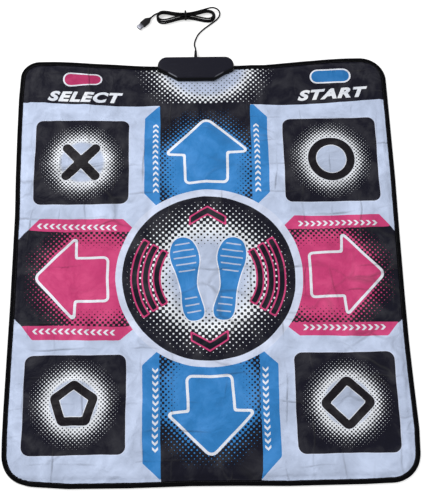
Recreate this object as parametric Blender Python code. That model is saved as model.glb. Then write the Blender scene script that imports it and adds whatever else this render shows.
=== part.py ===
# Dance mat controller: a soft laminated floor mat with ten foot buttons, a control box
# clamped over its rear hem and a cable that lies behind it in a tied hank.
# Metres, +Z up. X runs across the mat, +Y points to the box, the floor is z = 0.

import math

import bmesh
import bpy
import numpy as np
from mathutils import Matrix, Vector

# Clearance that neighbouring pieces keep
gap = 0.0003

# Mat outline
mat_width = 0.820
mat_length = 0.949
front_corner_radius = 0.052
rear_corner_radius = 0.042
hem_dip = 0.0165
hem_dip_flat_half = 0.070
hem_dip_end_margin = 0.070

# Thickness of each layer, from the floor up
backing_thickness = 0.0007
padding_thickness = 0.0025
film_thickness = 0.0003
spacer_thickness = 0.0020
cover_thickness = 0.0008

# Hem: the folded tape holds the margins of the cover and the backing
tape_width = 0.0105
tape_thickness = 0.0010
margin_inset = 0.0020
slope_start = 0.0125
cover_slope_width = 0.0095
backing_slope_width = 0.0055
layer_inset = 0.0005

# Foot buttons
arrow_point_inset = 0.0035
arrow_head_length = 0.0795
arrow_barb_drop = 0.0070
arrow_length = 0.1575
arrow_barb_half = 0.088
arrow_shaft_half = 0.051
arrow_corner_radius = 0.009
arrow_point_radius = 0.004
arrow_side_margin = 0.043
square_size = 0.2045
square_corner_radius = 0.015
square_side_margin = 0.0365
square_front_margin = 0.056
square_rear_margin = 0.152
small_pad_length = 0.089
small_pad_width = 0.036
small_pad_side_margin = 0.1305
small_pad_rear_margin = 0.0465

# Control box, measured from its own front edge and centre line
box_centre_x = -0.0205
box_overhang = 0.017
box_depth = 0.059
box_height = 0.0200
box_half_width = 0.086
box_kink_half = 0.063
box_front_half = 0.0405
box_shoulder_depth = 0.027
box_kink_depth = 0.014
box_rear_radius = 0.016
box_kink_radius = 0.008
box_front_radius = 0.004
box_wall = 0.0020
box_floor = 0.0016
clamp_depth = 0.0115
clamp_half_width = 0.0605
skirt_depth = 0.0165

# Circuit board and what sits on it
board_half_width = 0.052
board_front = 0.0185
board_depth = 0.0320
board_thickness = 0.0016
tail_width = 0.040
tail_spread = 0.025
tail_end = 0.0290
tail_step = 0.0060
strip_depth = 0.0080
strip_thickness = 0.0020
bar_half_width = 0.062
bar_thickness = 0.0025
clamp_screw_spread = 0.0575
boss_radius = 0.0028
chip_size = (0.0100, 0.0075, 0.0019)
chip_offset = (-0.018, 0.0085)
crystal_size = (0.0112, 0.0046, 0.0035)
crystal_offset = (0.030, 0.0075)
capacitor_radius = 0.0025
capacitor_height = 0.0070
capacitor_offset = (0.043, 0.0100)
wire_diameter = 0.0010
wire_spacing = 0.0016
wire_pad_spacing = 0.0030

# Screws
screw_radius = 0.0011
screw_head_radius = 0.0024
screw_head_height = 0.0012
screw_engagement = 0.0070
case_screw_inset = 0.0125
case_screw_front = 0.0335
case_screw_rear = 0.0485
post_radius = 0.0030

# Cable and strain relief
cord_diameter = 0.0032
relief_height = 0.0095
relief_neck_radius = 0.0030
relief_flange_radius = 0.0046
relief_flange = 0.0016
relief_collar_radius = 0.0042
relief_length = 0.0190
relief_tip_radius = 0.0023

# Hank: turns of the cord, drawn in at the waist by a tie
hank_centre = (-0.0424, 0.5880)
hank_turn = math.radians(2.3)
hank_half_length = 0.0666
hank_swell = 0.01224
hank_pinch = 0.00744
hank_length_step = 0.00380
hank_swell_step = 0.00514
hank_pinch_step = 0.00119
hank_layer_step = 0.00368
hank_start_angle = 155.0
hank_end_angle = 50.0
hank_full_turns = 4
hank_points_per_turn = 24
hank_lift_reach = 0.030
tie_width = 0.0040
tie_thickness = 0.0008
tie_slack = 0.0006

# Plug
plug_start = (-0.1215, 0.5872)
plug_angle = math.radians(224.0)
plug_neck_length = 0.0050
grip_length = 0.0240
grip_width = 0.0155
grip_height = 0.0080
plug_shell_width = 0.0120
plug_shell_height = 0.0045
plug_shell_wall = 0.00035
plug_shell_reach = 0.0120
plug_socket_depth = 0.0040
tongue_thickness = 0.0015
contact_width = 0.0010
contact_thickness = 0.0003
contact_pitch = 0.0022
contact_length = 0.0080

# Heights that follow from the layers
padding_bottom = backing_thickness + gap
padding_top = padding_bottom + padding_thickness
lower_film_bottom = padding_top + gap
lower_film_top = lower_film_bottom + film_thickness
spacer_bottom = lower_film_top + gap
spacer_top = spacer_bottom + spacer_thickness
upper_film_bottom = spacer_top + gap
upper_film_top = upper_film_bottom + film_thickness
cover_bottom = upper_film_top + gap
mat_top = cover_bottom + cover_thickness

# Heights in the hem
backing_margin_bottom = tape_thickness + gap
backing_margin_top = backing_margin_bottom + backing_thickness
cover_margin_bottom = backing_margin_top + gap
cover_margin_top = cover_margin_bottom + cover_thickness
tape_top = cover_margin_top + gap + tape_thickness

# Places that follow from the mat and the box
front_y = -mat_length / 2
rear_y = mat_length / 2
cover_slope_end = slope_start + cover_slope_width
inner_inset = cover_slope_end + layer_inset
field_front = front_y + square_front_margin
field_rear = rear_y - square_rear_margin
centre_y = (field_front + field_rear) / 2
hem_dip_reach = mat_width / 2 - hem_dip_end_margin
box_rear_y = rear_y - hem_dip + box_overhang
box_front_y = box_rear_y - box_depth
clamp_y = box_front_y + clamp_depth
skirt_y = box_front_y + skirt_depth
board_bottom = box_floor + gap
board_top = board_bottom + board_thickness
tail_bottom = max(lower_film_bottom, board_top + gap)
tail_top = tail_bottom + film_thickness
strip_bottom = tail_top + gap
strip_top = strip_bottom + strip_thickness
bar_bottom = strip_top + gap
bar_top = bar_bottom + bar_thickness
strip_y = box_front_y + tail_end - strip_depth / 2
cord_radius = cord_diameter / 2
relief_tip_y = box_rear_y + relief_length

# Route of the free cable on the floor, from the strain relief to the hank, as chosen by eye
cable_route = [
    (-0.0216, 0.5030, 0.0085),
    (-0.0228, 0.5109, 0.0052),
    (-0.0222, 0.5203, 0.0024),
    (-0.0190, 0.5308, 0.0020),
    (-0.0135, 0.5418, 0.0020),
    (-0.0045, 0.5523, 0.0020),
    (0.0063, 0.5617, 0.0020),
    (0.0180, 0.5712, 0.0020),
    (0.0288, 0.5804, 0.0022),
    (0.0357, 0.5906, 0.0030),
    (0.0358, 0.6000, 0.0056),
    (0.0290, 0.6060, 0.0087),
    (0.0185, 0.6073, 0.0112),
]
# Route of the short lead from the hank to the plug
lead_route = [
    (-0.1142, 0.5952, 0.0026),
]


def clear_scene():
    for obj in list(bpy.data.objects):
        bpy.data.objects.remove(obj, do_unlink=True)


def finish(name, colour, roughness, metallic=0.0):
    """Gives an object its own material."""
    obj = bpy.data.objects[name]
    material = bpy.data.materials.new(name)
    material.use_nodes = True
    shader = material.node_tree.nodes["Principled BSDF"]
    shader.inputs["Base Color"].default_value = (*colour, 1.0)
    shader.inputs["Roughness"].default_value = roughness
    shader.inputs["Metallic"].default_value = metallic
    material.diffuse_color = (*colour, 1.0)
    obj.data.materials.append(material)
    return obj


def add_object(name, bm, smooth=False):
    """Makes an object from a bmesh, with its faces turned outwards."""
    bmesh.ops.recalc_face_normals(bm, faces=bm.faces)
    mesh = bpy.data.meshes.new(name)
    bm.to_mesh(mesh)
    bm.free()
    if smooth:
        mesh.shade_smooth()
        mesh.set_sharp_from_angle(angle=math.radians(35))
    obj = bpy.data.objects.new(name, mesh)
    bpy.context.scene.collection.objects.link(obj)
    return obj


def as_tool(obj):
    """Marks an object as a cutter or a boss that a Boolean reads."""
    obj.hide_render = True
    obj.display_type = "WIRE"
    return obj


def combine(obj, tool, operation):
    modifier = obj.modifiers.new(tool.name, "BOOLEAN")
    modifier.operation = operation
    modifier.solver = "EXACT"
    modifier.object = tool


# Outlines in the plane

def offset_corners(corners, distance):
    """Moves each side of a closed counterclockwise polygon outwards by distance."""
    moved = []
    count = len(corners)
    for i, (x, y, radius) in enumerate(corners):
        here = Vector((x, y))
        before = here - Vector(corners[i - 1][:2])
        after = Vector(corners[(i + 1) % count][:2]) - here
        normal_a = Vector((before.y, -before.x)).normalized()
        normal_b = Vector((after.y, -after.x)).normalized()
        middle = (normal_a + normal_b).normalized()
        place = here + middle * (distance / middle.dot(normal_a))
        turn = before.x * after.y - before.y * after.x
        new_radius = radius + distance if turn > 0 else radius - distance
        moved.append((place.x, place.y, max(new_radius, gap)))
    return moved


def rounded(corners, steps=3):
    """Points of a closed polygon whose corners (x, y, radius) are rounded by arcs."""
    points = []
    count = len(corners)
    for i, (x, y, radius) in enumerate(corners):
        here = Vector((x, y))
        to_before = (Vector(corners[i - 1][:2]) - here).normalized()
        to_after = (Vector(corners[(i + 1) % count][:2]) - here).normalized()
        half_angle = to_before.angle(to_after) / 2
        centre = here + (to_before + to_after).normalized() * (radius / math.sin(half_angle))
        first = here + to_before * (radius / math.tan(half_angle)) - centre
        last = here + to_after * (radius / math.tan(half_angle)) - centre
        start = math.atan2(first.y, first.x)
        sweep = math.atan2(last.y, last.x) - start
        sweep = (sweep + math.pi) % (2 * math.pi) - math.pi
        for step in range(steps + 1):
            angle = start + sweep * step / steps
            points.append((centre.x + radius * math.cos(angle), centre.y + radius * math.sin(angle)))
    return points


def rectangle(centre_x, centre_y, width, depth, radius):
    x0 = centre_x - width / 2
    x1 = centre_x + width / 2
    y0 = centre_y - depth / 2
    y1 = centre_y + depth / 2
    return [(x0, y0, radius), (x1, y0, radius), (x1, y1, radius), (x0, y1, radius)]


def circle(centre_x, centre_y, radius, count=16):
    angles = [2 * math.pi * i / count for i in range(count)]
    return [(centre_x + radius * math.cos(a), centre_y + radius * math.sin(a)) for a in angles]


def rear_hem(x):
    """Height along Y of the rear hem, which dips behind the control box."""
    beyond = max(abs(x - box_centre_x) - hem_dip_flat_half, 0.0)
    share = min(beyond / (hem_dip_reach - hem_dip_flat_half), 1.0)
    return rear_y - hem_dip * (1 + math.cos(math.pi * share)) / 2


def hem_path(inset):
    """Outline of the mat from the box's left side all the way round to its right side."""
    half = mat_width / 2 - inset
    left = box_centre_x - box_half_width - gap
    right = box_centre_x + box_half_width + gap
    rear_r = rear_corner_radius - inset
    front_r = front_corner_radius - inset
    steps = 7
    points = []
    for step in range(steps):
        x = left + (-half + rear_r - left) * step / steps
        points.append((x, rear_hem(x) - inset))
    corners = [
        (-half + rear_r, rear_y - inset - rear_r, rear_r, 90),
        (-half + front_r, front_y + inset + front_r, front_r, 180),
        (half - front_r, front_y + inset + front_r, front_r, 270),
        (half - rear_r, rear_y - inset - rear_r, rear_r, 0),
    ]
    for x, y, radius, start in corners:
        for step in range(9):
            angle = math.radians(start + 90 * step / 8)
            points.append((x + radius * math.cos(angle), y + radius * math.sin(angle)))
    for step in range(1, steps + 1):
        x = half - rear_r + (right - half + rear_r) * step / steps
        points.append((x, rear_hem(x) - inset))
    return points


def box_corners():
    """Corners of the control box seen from above, counterclockwise."""
    sides = [
        (box_front_half, 0.0, box_front_radius),
        (box_kink_half, box_kink_depth, box_kink_radius),
        (box_half_width, box_shoulder_depth, box_kink_radius),
        (box_half_width, box_depth, box_rear_radius),
    ]
    right = [(box_centre_x + x, box_front_y + y, r) for x, y, r in sides]
    left = [(box_centre_x - x, box_front_y + y, r) for x, y, r in reversed(sides)]
    return right + left


def arrow_corners(tip_x, tip_y, direction):
    """Corners of an arrow whose tip points along direction, in degrees from +X."""
    base = -arrow_head_length
    local = [
        (0.0, 0.0, arrow_point_radius),
        (base, arrow_barb_half, arrow_point_radius),
        (base - arrow_barb_drop, arrow_barb_half - arrow_barb_drop, arrow_point_radius),
        (base - arrow_barb_drop, arrow_shaft_half, arrow_point_radius),
        (-arrow_length, arrow_shaft_half, arrow_corner_radius),
        (-arrow_length, -arrow_shaft_half, arrow_corner_radius),
        (base - arrow_barb_drop, -arrow_shaft_half, arrow_point_radius),
        (base - arrow_barb_drop, -arrow_barb_half + arrow_barb_drop, arrow_point_radius),
        (base, -arrow_barb_half, arrow_point_radius),
    ]
    c = math.cos(math.radians(direction))
    s = math.sin(math.radians(direction))
    return [(tip_x + c * x - s * y, tip_y + s * x + c * y, r) for x, y, r in local]


def zone_outlines():
    """Name and corners of each foot button."""
    side_tip = mat_width / 2 - arrow_side_margin
    square_x = mat_width / 2 - square_side_margin - square_size / 2
    square_front_y = field_front + square_size / 2
    square_rear_y = field_rear - square_size / 2
    pad_x = mat_width / 2 - small_pad_side_margin
    zones = {
        "arrow_up": arrow_corners(0.0, field_rear - arrow_point_inset, 90),
        "arrow_down": arrow_corners(0.0, field_front + arrow_point_inset, 270),
        "arrow_left": arrow_corners(-side_tip, centre_y, 180),
        "arrow_right": arrow_corners(side_tip, centre_y, 0),
    }
    squares = {
        "corner_rear_left": (-square_x, square_rear_y),
        "corner_rear_right": (square_x, square_rear_y),
        "corner_front_left": (-square_x, square_front_y),
        "corner_front_right": (square_x, square_front_y),
    }
    for name, (x, y) in squares.items():
        zones[name] = rectangle(x, y, square_size, square_size, square_corner_radius)
    pad_radius = small_pad_width / 2 - gap
    for name, x in (("select", -pad_x), ("start", pad_x)):
        y = rear_hem(x) - small_pad_rear_margin
        zones[name] = rectangle(x, y, small_pad_length, small_pad_width, pad_radius)
    return zones


# Solids

def add_loop(bm, points, z):
    verts = [bm.verts.new((x, y, z)) for x, y in points]
    return [bm.edges.new((a, b)) for a, b in zip(verts, verts[1:] + verts[:1])]


def thicken(bm, thickness):
    """Turns a surface into a closed solid that reaches down by thickness."""
    result = bmesh.ops.extrude_face_region(bm, geom=bm.faces[:])
    moved = [item for item in result["geom"] if isinstance(item, bmesh.types.BMVert)]
    bmesh.ops.translate(bm, verts=moved, vec=(0, 0, -thickness))


def plate(name, outer, holes, bottom, top, smooth=False):
    """A flat plate with an outline and holes."""
    bm = bmesh.new()
    edges = []
    for points in [outer] + holes:
        edges += add_loop(bm, points, top)
    bmesh.ops.triangle_fill(bm, use_beauty=True, edges=edges, normal=(0, 0, 1))
    thicken(bm, top - bottom)
    return add_object(name, bm, smooth)


def laminate(name, rings, notch, windows, thickness):
    """A mat layer. Rings are (inset, top height) from the hem inwards; the notch is the
    path across the box's place, from its right side to its left side."""
    bm = bmesh.new()
    rows = []
    for inset, z in rings:
        rows.append([bm.verts.new((x, y, z)) for x, y in hem_path(inset)])
    for outer, inner in zip(rows, rows[1:]):
        for i in range(len(outer) - 1):
            bm.faces.new((outer[i], outer[i + 1], inner[i + 1], inner[i]))
    top = rings[-1][1]
    field = rows[-1] + [bm.verts.new((x, y, top)) for x, y in notch]
    edges = []
    for a, b in zip(field, field[1:] + field[:1]):
        edges.append(bm.edges.get((a, b)) or bm.edges.new((a, b)))
    for points in windows:
        edges += add_loop(bm, points, top)
    bmesh.ops.triangle_fill(bm, use_beauty=True, edges=edges, normal=(0, 0, 1))
    thicken(bm, thickness)
    return add_object(name, bm)


def loft(name, sections, smooth=False):
    """A closed solid through rings of points that all have one count."""
    bm = bmesh.new()
    rows = [[bm.verts.new(p) for p in section] for section in sections]
    count = len(rows[0])
    for lower, upper in zip(rows, rows[1:]):
        for i in range(count):
            j = (i + 1) % count
            bm.faces.new((lower[i], lower[j], upper[j], upper[i]))
    bm.faces.new(list(reversed(rows[0])))
    bm.faces.new(rows[-1])
    return add_object(name, bm, smooth)


def turned(name, profile, origin, axis, count=16):
    """A turned solid: profile is (distance along axis, radius)."""
    turn = Vector((0, 0, 1)).rotation_difference(Vector(axis)).to_matrix()
    sections = []
    for along, radius in profile:
        ring = [Vector((x, y, along)) for x, y in circle(0, 0, radius, count)]
        sections.append([Vector(origin) + turn @ p for p in ring])
    return loft(name, sections, smooth=True)


def block(name, centre_x, centre_y, size, bottom, bevel):
    """A rectangular block with its upright edges and top edges eased."""
    width, depth, height = size
    sections = []
    for z, inset in ((bottom, 0.0), (bottom + height - bevel, 0.0), (bottom + height, bevel)):
        corners = rectangle(centre_x, centre_y, width - 2 * inset, depth - 2 * inset, bevel)
        sections.append([(x, y, z) for x, y in rounded(corners, 1)])
    return loft(name, sections)


def smooth_path(points, spacing):
    """Points a spacing apart on a smooth curve through the route's own points."""
    route = np.array(points, dtype=float)
    before = 2 * route[0] - route[1]
    after = 2 * route[-1] - route[-2]
    knots = np.vstack([before, route, after])
    samples = []
    for i in range(1, len(knots) - 2):
        p0, p1, p2, p3 = knots[i - 1:i + 3]
        for t in np.linspace(0, 1, 24, endpoint=False):
            samples.append(0.5 * (2 * p1 + (p2 - p0) * t + (2 * p0 - 5 * p1 + 4 * p2 - p3) * t ** 2
                                  + (3 * p1 - p0 - 3 * p2 + p3) * t ** 3))
    samples.append(knots[-2])
    samples = np.array(samples)
    steps = np.linalg.norm(np.diff(samples, axis=0), axis=1)
    along = np.concatenate([[0.0], np.cumsum(steps)])
    count = max(int(round(along[-1] / spacing)), 2)
    wanted = np.linspace(0, along[-1], count + 1)
    return np.column_stack([np.interp(wanted, along, samples[:, k]) for k in range(3)])


def path_length(points):
    return float(np.linalg.norm(np.diff(points, axis=0), axis=1).sum())


def tube(name, points, diameter, resolution):
    """A round cord along a path, as a curve with filled caps."""
    curve = bpy.data.curves.new(name, "CURVE")
    curve.dimensions = "3D"
    curve.bevel_depth = diameter / 2
    curve.bevel_resolution = resolution
    curve.use_fill_caps = True
    spline = curve.splines.new("POLY")
    spline.points.add(len(points) - 1)
    for point, (x, y, z) in zip(spline.points, points):
        point.co = (x, y, z, 1.0)
    obj = bpy.data.objects.new(name, curve)
    bpy.context.scene.collection.objects.link(obj)
    return obj


# Mat layers

def mat_notch():
    """Path round the box's place for the cover: close to the walls, and under its front."""
    corners = offset_corners(box_corners(), gap)
    kink = Vector(corners[1][:2])
    shoulder = Vector(corners[2][:2])
    share = (skirt_y - kink.y) / (shoulder.y - kink.y)
    wall_x = kink.x + (shoulder.x - kink.x) * share - box_centre_x
    shoulder_x = shoulder.x - box_centre_x
    right = [(shoulder_x, shoulder.y), (wall_x, skirt_y), (clamp_half_width, skirt_y),
             (clamp_half_width, clamp_y)]
    path = [(box_centre_x + x, y) for x, y in right]
    path += [(box_centre_x - x, y) for x, y in reversed(right)]
    return path


def tail_notch(tail_x, end_y):
    """Path round the box's place for a contact film, with its tail."""
    half = box_half_width + gap
    return [
        (box_centre_x + half, clamp_y),
        (tail_x + tail_width / 2, clamp_y),
        (tail_x + tail_width / 2, end_y),
        (tail_x - tail_width / 2, end_y),
        (tail_x - tail_width / 2, clamp_y),
        (box_centre_x - half, clamp_y),
    ]


def plain_notch():
    half = box_half_width + gap
    return [(box_centre_x + half, clamp_y), (box_centre_x - half, clamp_y)]


def make_backing():
    corners = offset_corners(box_corners(), gap)
    order = [2, 1, 0, 7, 6, 5]
    notch = [corners[i][:2] for i in order]
    slope_end = slope_start + backing_slope_width
    rings = [(margin_inset, backing_margin_top), (slope_start, backing_margin_top),
             (slope_end, backing_thickness)]
    laminate("non_slip_backing", rings, notch, [], backing_thickness)
    finish("non_slip_backing", (0.05, 0.05, 0.055), 0.85)


def make_padding():
    laminate("padding_foam", [(inner_inset, padding_top)], plain_notch(), [], padding_thickness)
    finish("padding_foam", (0.80, 0.80, 0.76), 0.95)


def make_lower_film():
    tail_x = box_centre_x - tail_spread
    notch = tail_notch(tail_x, box_front_y + tail_end)
    laminate("lower_contact_film", [(inner_inset, lower_film_top)], notch, [], film_thickness)
    finish("lower_contact_film", (0.70, 0.72, 0.74), 0.35)


def make_spacer(windows):
    laminate("spacer_foam", [(inner_inset, spacer_top)], plain_notch(), windows, spacer_thickness)
    finish("spacer_foam", (0.88, 0.86, 0.78), 0.95)


def make_upper_film(windows):
    """The upper film. Its tail steps down inside the box to lie on the board."""
    tail_x = box_centre_x + tail_spread
    step_y = clamp_y + gap
    notch = tail_notch(tail_x, step_y)
    obj = laminate("upper_contact_film", [(inner_inset, upper_film_top)], notch, windows,
                   film_thickness)
    bm = bmesh.new()
    bm.from_mesh(obj.data)
    drop = upper_film_bottom - tail_bottom
    end_y = box_front_y + tail_end
    for move in ((0, tail_step, -drop), (0, end_y - step_y - tail_step, 0)):
        def reach(face):
            middle = face.calc_center_median()
            return middle.y if abs(middle.x - tail_x) < tail_width / 2 else -1.0
        upright = [f for f in bm.faces if abs(f.normal.y) > 0.9]
        end = max(upright, key=reach)
        result = bmesh.ops.extrude_face_region(bm, geom=[end])
        verts = [item for item in result["geom"] if isinstance(item, bmesh.types.BMVert)]
        bmesh.ops.translate(bm, verts=verts, vec=move)
        bmesh.ops.delete(bm, geom=[end], context="FACES_ONLY")
        bm.normal_update()
    bmesh.ops.recalc_face_normals(bm, faces=bm.faces)
    bm.to_mesh(obj.data)
    bm.free()
    finish("upper_contact_film", (0.72, 0.74, 0.76), 0.35)


def make_cover(windows):
    rings = [(margin_inset, cover_margin_top), (slope_start, cover_margin_top),
             (cover_slope_end, mat_top)]
    laminate("printed_cover", rings, mat_notch(), windows, cover_thickness)
    finish("printed_cover", (0.78, 0.80, 0.88), 0.55)


def make_binding():
    """Tape folded over the hem, from one side of the box round to the other."""
    ease = tape_thickness * 0.6
    profile = [(ease, 0.0), (tape_width, 0.0), (tape_width, tape_thickness),
               (tape_thickness, tape_thickness), (tape_thickness, tape_top - tape_thickness),
               (tape_width, tape_top - tape_thickness), (tape_width, tape_top),
               (ease, tape_top), (0.0, tape_top - ease), (0.0, ease)]
    strips = [[(x, y, z) for x, y in hem_path(inset)] for inset, z in profile]
    sections = [list(points) for points in zip(*strips)]
    loft("edge_binding", sections)
    finish("edge_binding", (0.015, 0.015, 0.018), 0.75)


def make_zones(zones):
    """The skin and the contact patch of each foot button."""
    blue = (0.05, 0.27, 0.60)
    pink = (0.68, 0.06, 0.21)
    dark = (0.03, 0.03, 0.035)
    colours = {"arrow_up": blue, "arrow_down": blue, "arrow_left": pink, "arrow_right": pink,
               "select": pink, "start": blue}
    for name, corners in zones.items():
        points = rounded(corners)
        plate(name + "_skin", points, [], cover_bottom, mat_top)
        finish(name + "_skin", colours.get(name, dark), 0.55)
        plate(name + "_patch", points, [], upper_film_bottom, upper_film_top)
        finish(name + "_patch", (0.04, 0.04, 0.04), 0.6)


# Control box

def box_section(inset, z):
    corners = offset_corners(box_corners(), -inset)
    return [(x, y, z) for x, y in rounded(corners, 3)]


def case_screw_places():
    rows = (box_front_y + case_screw_front, box_front_y + case_screw_rear)
    spread = box_half_width - case_screw_inset
    return [(box_centre_x + side * spread, y) for side in (-1, 1) for y in rows]


def make_upper_shell():
    wall_bottom = box_floor + gap
    profile = [(0.0, wall_bottom), (0.0, box_height * 0.55), (0.0008, box_height * 0.75),
               (0.0026, box_height * 0.92), (0.0052, box_height)]
    shell = loft("box_upper_shell", [box_section(inset, z) for inset, z in profile], smooth=True)
    roof = box_height - box_wall
    inside = [(box_wall, 0.0), (box_wall, box_height * 0.72), (box_wall + 0.0030, roof)]
    cavity = as_tool(loft("cut_box_inside", [box_section(inset, z) for inset, z in inside]))
    combine(shell, cavity, "DIFFERENCE")
    slab_bottom = -box_height
    slab_top = mat_top + gap
    slab_depth = skirt_y + gap - (box_front_y - box_wall)
    slab = rectangle(box_centre_x, skirt_y + gap - slab_depth / 2, 4 * box_half_width, slab_depth, gap)
    combine(shell, as_tool(plate("cut_over_mat", rounded(slab, 1), [], slab_bottom, slab_top)),
            "DIFFERENCE")
    pilot = screw_radius + gap
    for index, (x, y) in enumerate(case_screw_places(), 1):
        post = turned(f"add_post_{index}", [(wall_bottom, post_radius), (roof + gap, post_radius)],
                      (x, y, 0), (0, 0, 1), 12)
        combine(shell, as_tool(post), "UNION")
    for index, (x, y) in enumerate(case_screw_places(), 1):
        top = wall_bottom + screw_engagement + 2 * gap
        hole = turned(f"cut_pilot_{index}", [(0.0, pilot), (top, pilot)], (x, y, 0), (0, 0, 1), 12)
        combine(shell, as_tool(hole), "DIFFERENCE")
    neck = relief_neck_radius + gap
    hole = turned("cut_cable_hole", [(-2 * box_wall, neck), (2 * box_wall, neck)],
                  (box_centre_x, box_rear_y, relief_height), (0, 1, 0))
    combine(shell, as_tool(hole), "DIFFERENCE")
    finish("box_upper_shell", (0.02, 0.02, 0.024), 0.45)


def make_lower_shell():
    """Floor of the box: a thin lip under the mat, a plate behind it, bosses for the clamp."""
    outline = [(x, y) for x, y, z in box_section(0.0, 0.0)]
    shell = plate("box_lower_shell", outline, [], 0.0, box_floor)
    lip_depth = skirt_y - box_front_y + box_wall
    lip = rectangle(box_centre_x, skirt_y - lip_depth / 2, 4 * box_half_width, lip_depth, gap)
    cutter = plate("cut_lip", rounded(lip, 1), [], backing_thickness, 2 * box_floor)
    combine(shell, as_tool(cutter), "DIFFERENCE")
    head = screw_head_radius + gap
    shaft = screw_radius + gap
    stepped = [(-box_floor, head), (screw_head_height, head), (screw_head_height, shaft),
               (2 * box_floor, shaft)]
    for index, (x, y) in enumerate(case_screw_places(), 1):
        sink = turned(f"cut_screw_{index}", stepped, (x, y, 0), (0, 0, 1), 12)
        combine(shell, as_tool(sink), "DIFFERENCE")
    boss_top = bar_bottom - gap
    for side, tag in ((-1, "left"), (1, "right")):
        place = (box_centre_x + side * clamp_screw_spread, strip_y, 0)
        boss = turned("add_boss_" + tag, [(box_floor / 2, boss_radius), (boss_top, boss_radius)],
                      place, (0, 0, 1), 12)
        combine(shell, as_tool(boss), "UNION")
        hole = turned("cut_boss_" + tag, [(box_floor + gap, shaft), (2 * boss_top, shaft)],
                      place, (0, 0, 1), 12)
        combine(shell, as_tool(hole), "DIFFERENCE")
    finish("box_lower_shell", (0.02, 0.02, 0.024), 0.5)


def make_board():
    board_y = box_front_y + board_front + board_depth / 2
    outline = rounded(rectangle(box_centre_x, board_y, 2 * board_half_width, board_depth, 0.001), 1)
    plate("circuit_board", outline, [], board_bottom, board_top)
    finish("circuit_board", (0.03, 0.20, 0.09), 0.4)
    part_bottom = board_top + gap
    block("controller_chip", box_centre_x + chip_offset[0], board_y + chip_offset[1], chip_size,
          part_bottom, 0.0003)
    finish("controller_chip", (0.02, 0.02, 0.02), 0.5)
    block("crystal", box_centre_x + crystal_offset[0], board_y + crystal_offset[1], crystal_size,
          part_bottom, 0.0008)
    finish("crystal", (0.75, 0.75, 0.76), 0.25, 1.0)
    top = part_bottom + capacitor_height
    ease = capacitor_radius * 0.9
    turned("capacitor", [(part_bottom, capacitor_radius), (top - 0.0003, capacitor_radius),
                         (top, ease)],
           (box_centre_x + capacitor_offset[0], board_y + capacitor_offset[1], 0), (0, 0, 1))
    finish("capacitor", (0.05, 0.07, 0.20), 0.4)


def make_clamp():
    """The rubber strip and the screwed bar that press both film tails on the board."""
    strip_half = tail_spread + tail_width / 2
    block("contact_rubber_strip", box_centre_x, strip_y, (2 * strip_half, strip_depth, strip_thickness),
          strip_bottom, 0.0003)
    finish("contact_rubber_strip", (0.25, 0.25, 0.26), 0.9)
    bar = rectangle(box_centre_x, strip_y, 2 * bar_half_width, strip_depth, 0.001)
    places = [(box_centre_x + side * clamp_screw_spread, strip_y) for side in (-1, 1)]
    holes = [circle(x, y, screw_radius + gap, 12) for x, y in places]
    plate("clamp_bar", rounded(bar, 2), holes, bar_bottom, bar_top)
    finish("clamp_bar", (0.10, 0.10, 0.11), 0.5)
    head_bottom = bar_top + gap
    for tag, (x, y) in zip(("left", "right"), places):
        tip = box_floor + 2 * gap
        profile = [(tip, screw_radius * 0.6), (tip + 0.0008, screw_radius),
                   (head_bottom, screw_radius), (head_bottom, screw_head_radius),
                   (head_bottom + screw_head_height * 0.6, screw_head_radius),
                   (head_bottom + screw_head_height, screw_head_radius * 0.6)]
        turned("clamp_screw_" + tag, profile, (x, y, 0), (0, 0, 1), 12)
        finish("clamp_screw_" + tag, (0.62, 0.62, 0.63), 0.3, 1.0)


def make_case_screws():
    head_top = screw_head_height - gap
    tip = box_floor + gap + screw_engagement
    profile = [(gap, screw_head_radius * 0.8), (2 * gap, screw_head_radius),
               (head_top, screw_head_radius), (head_top, screw_radius),
               (tip - 0.0008, screw_radius), (tip, screw_radius * 0.6)]
    for index, (x, y) in enumerate(case_screw_places(), 1):
        turned(f"case_screw_{index}", profile, (x, y, 0), (0, 0, 1), 12)
        finish(f"case_screw_{index}", (0.62, 0.62, 0.63), 0.3, 1.0)


def make_strain_relief():
    """Turned rubber relief: a flange inside the wall, a collar outside, then the taper."""
    inner = -box_wall - gap
    profile = [(inner - relief_flange, relief_flange_radius), (inner, relief_flange_radius),
               (inner, relief_neck_radius), (gap, relief_neck_radius),
               (gap, relief_collar_radius), (relief_flange, relief_collar_radius),
               (relief_flange * 1.5, relief_neck_radius), (relief_length, relief_tip_radius)]
    turned("strain_relief", profile, (box_centre_x, box_rear_y, relief_height), (0, 1, 0))
    finish("strain_relief", (0.02, 0.02, 0.02), 0.6)


def make_wires():
    """The four wires from the cable's end inside the relief down to the board."""
    start_y = box_rear_y - box_wall - relief_flange - 2 * gap
    end_z = board_top + gap
    for index in range(4):
        place = index - 1.5
        x0 = box_centre_x + place * wire_spacing
        x1 = box_centre_x + place * wire_pad_spacing
        rise = relief_height - end_z
        route = [(x0, start_y, relief_height), (x0, start_y - 0.002, relief_height),
                 ((x0 + x1) / 2, start_y - 0.0055, end_z + rise * 0.62),
                 (x1, start_y - 0.0066, end_z + 0.002), (x1, start_y - 0.0066, end_z)]
        name = f"cable_wire_{index + 1}"
        tube(name, smooth_path(route, 1.6 * wire_diameter), wire_diameter, 2)
        colour = ((0.6, 0.03, 0.03), (0.8, 0.8, 0.8), (0.03, 0.3, 0.06), (0.02, 0.02, 0.02))[index]
        finish(name, colour, 0.4)


# Cable

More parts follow.
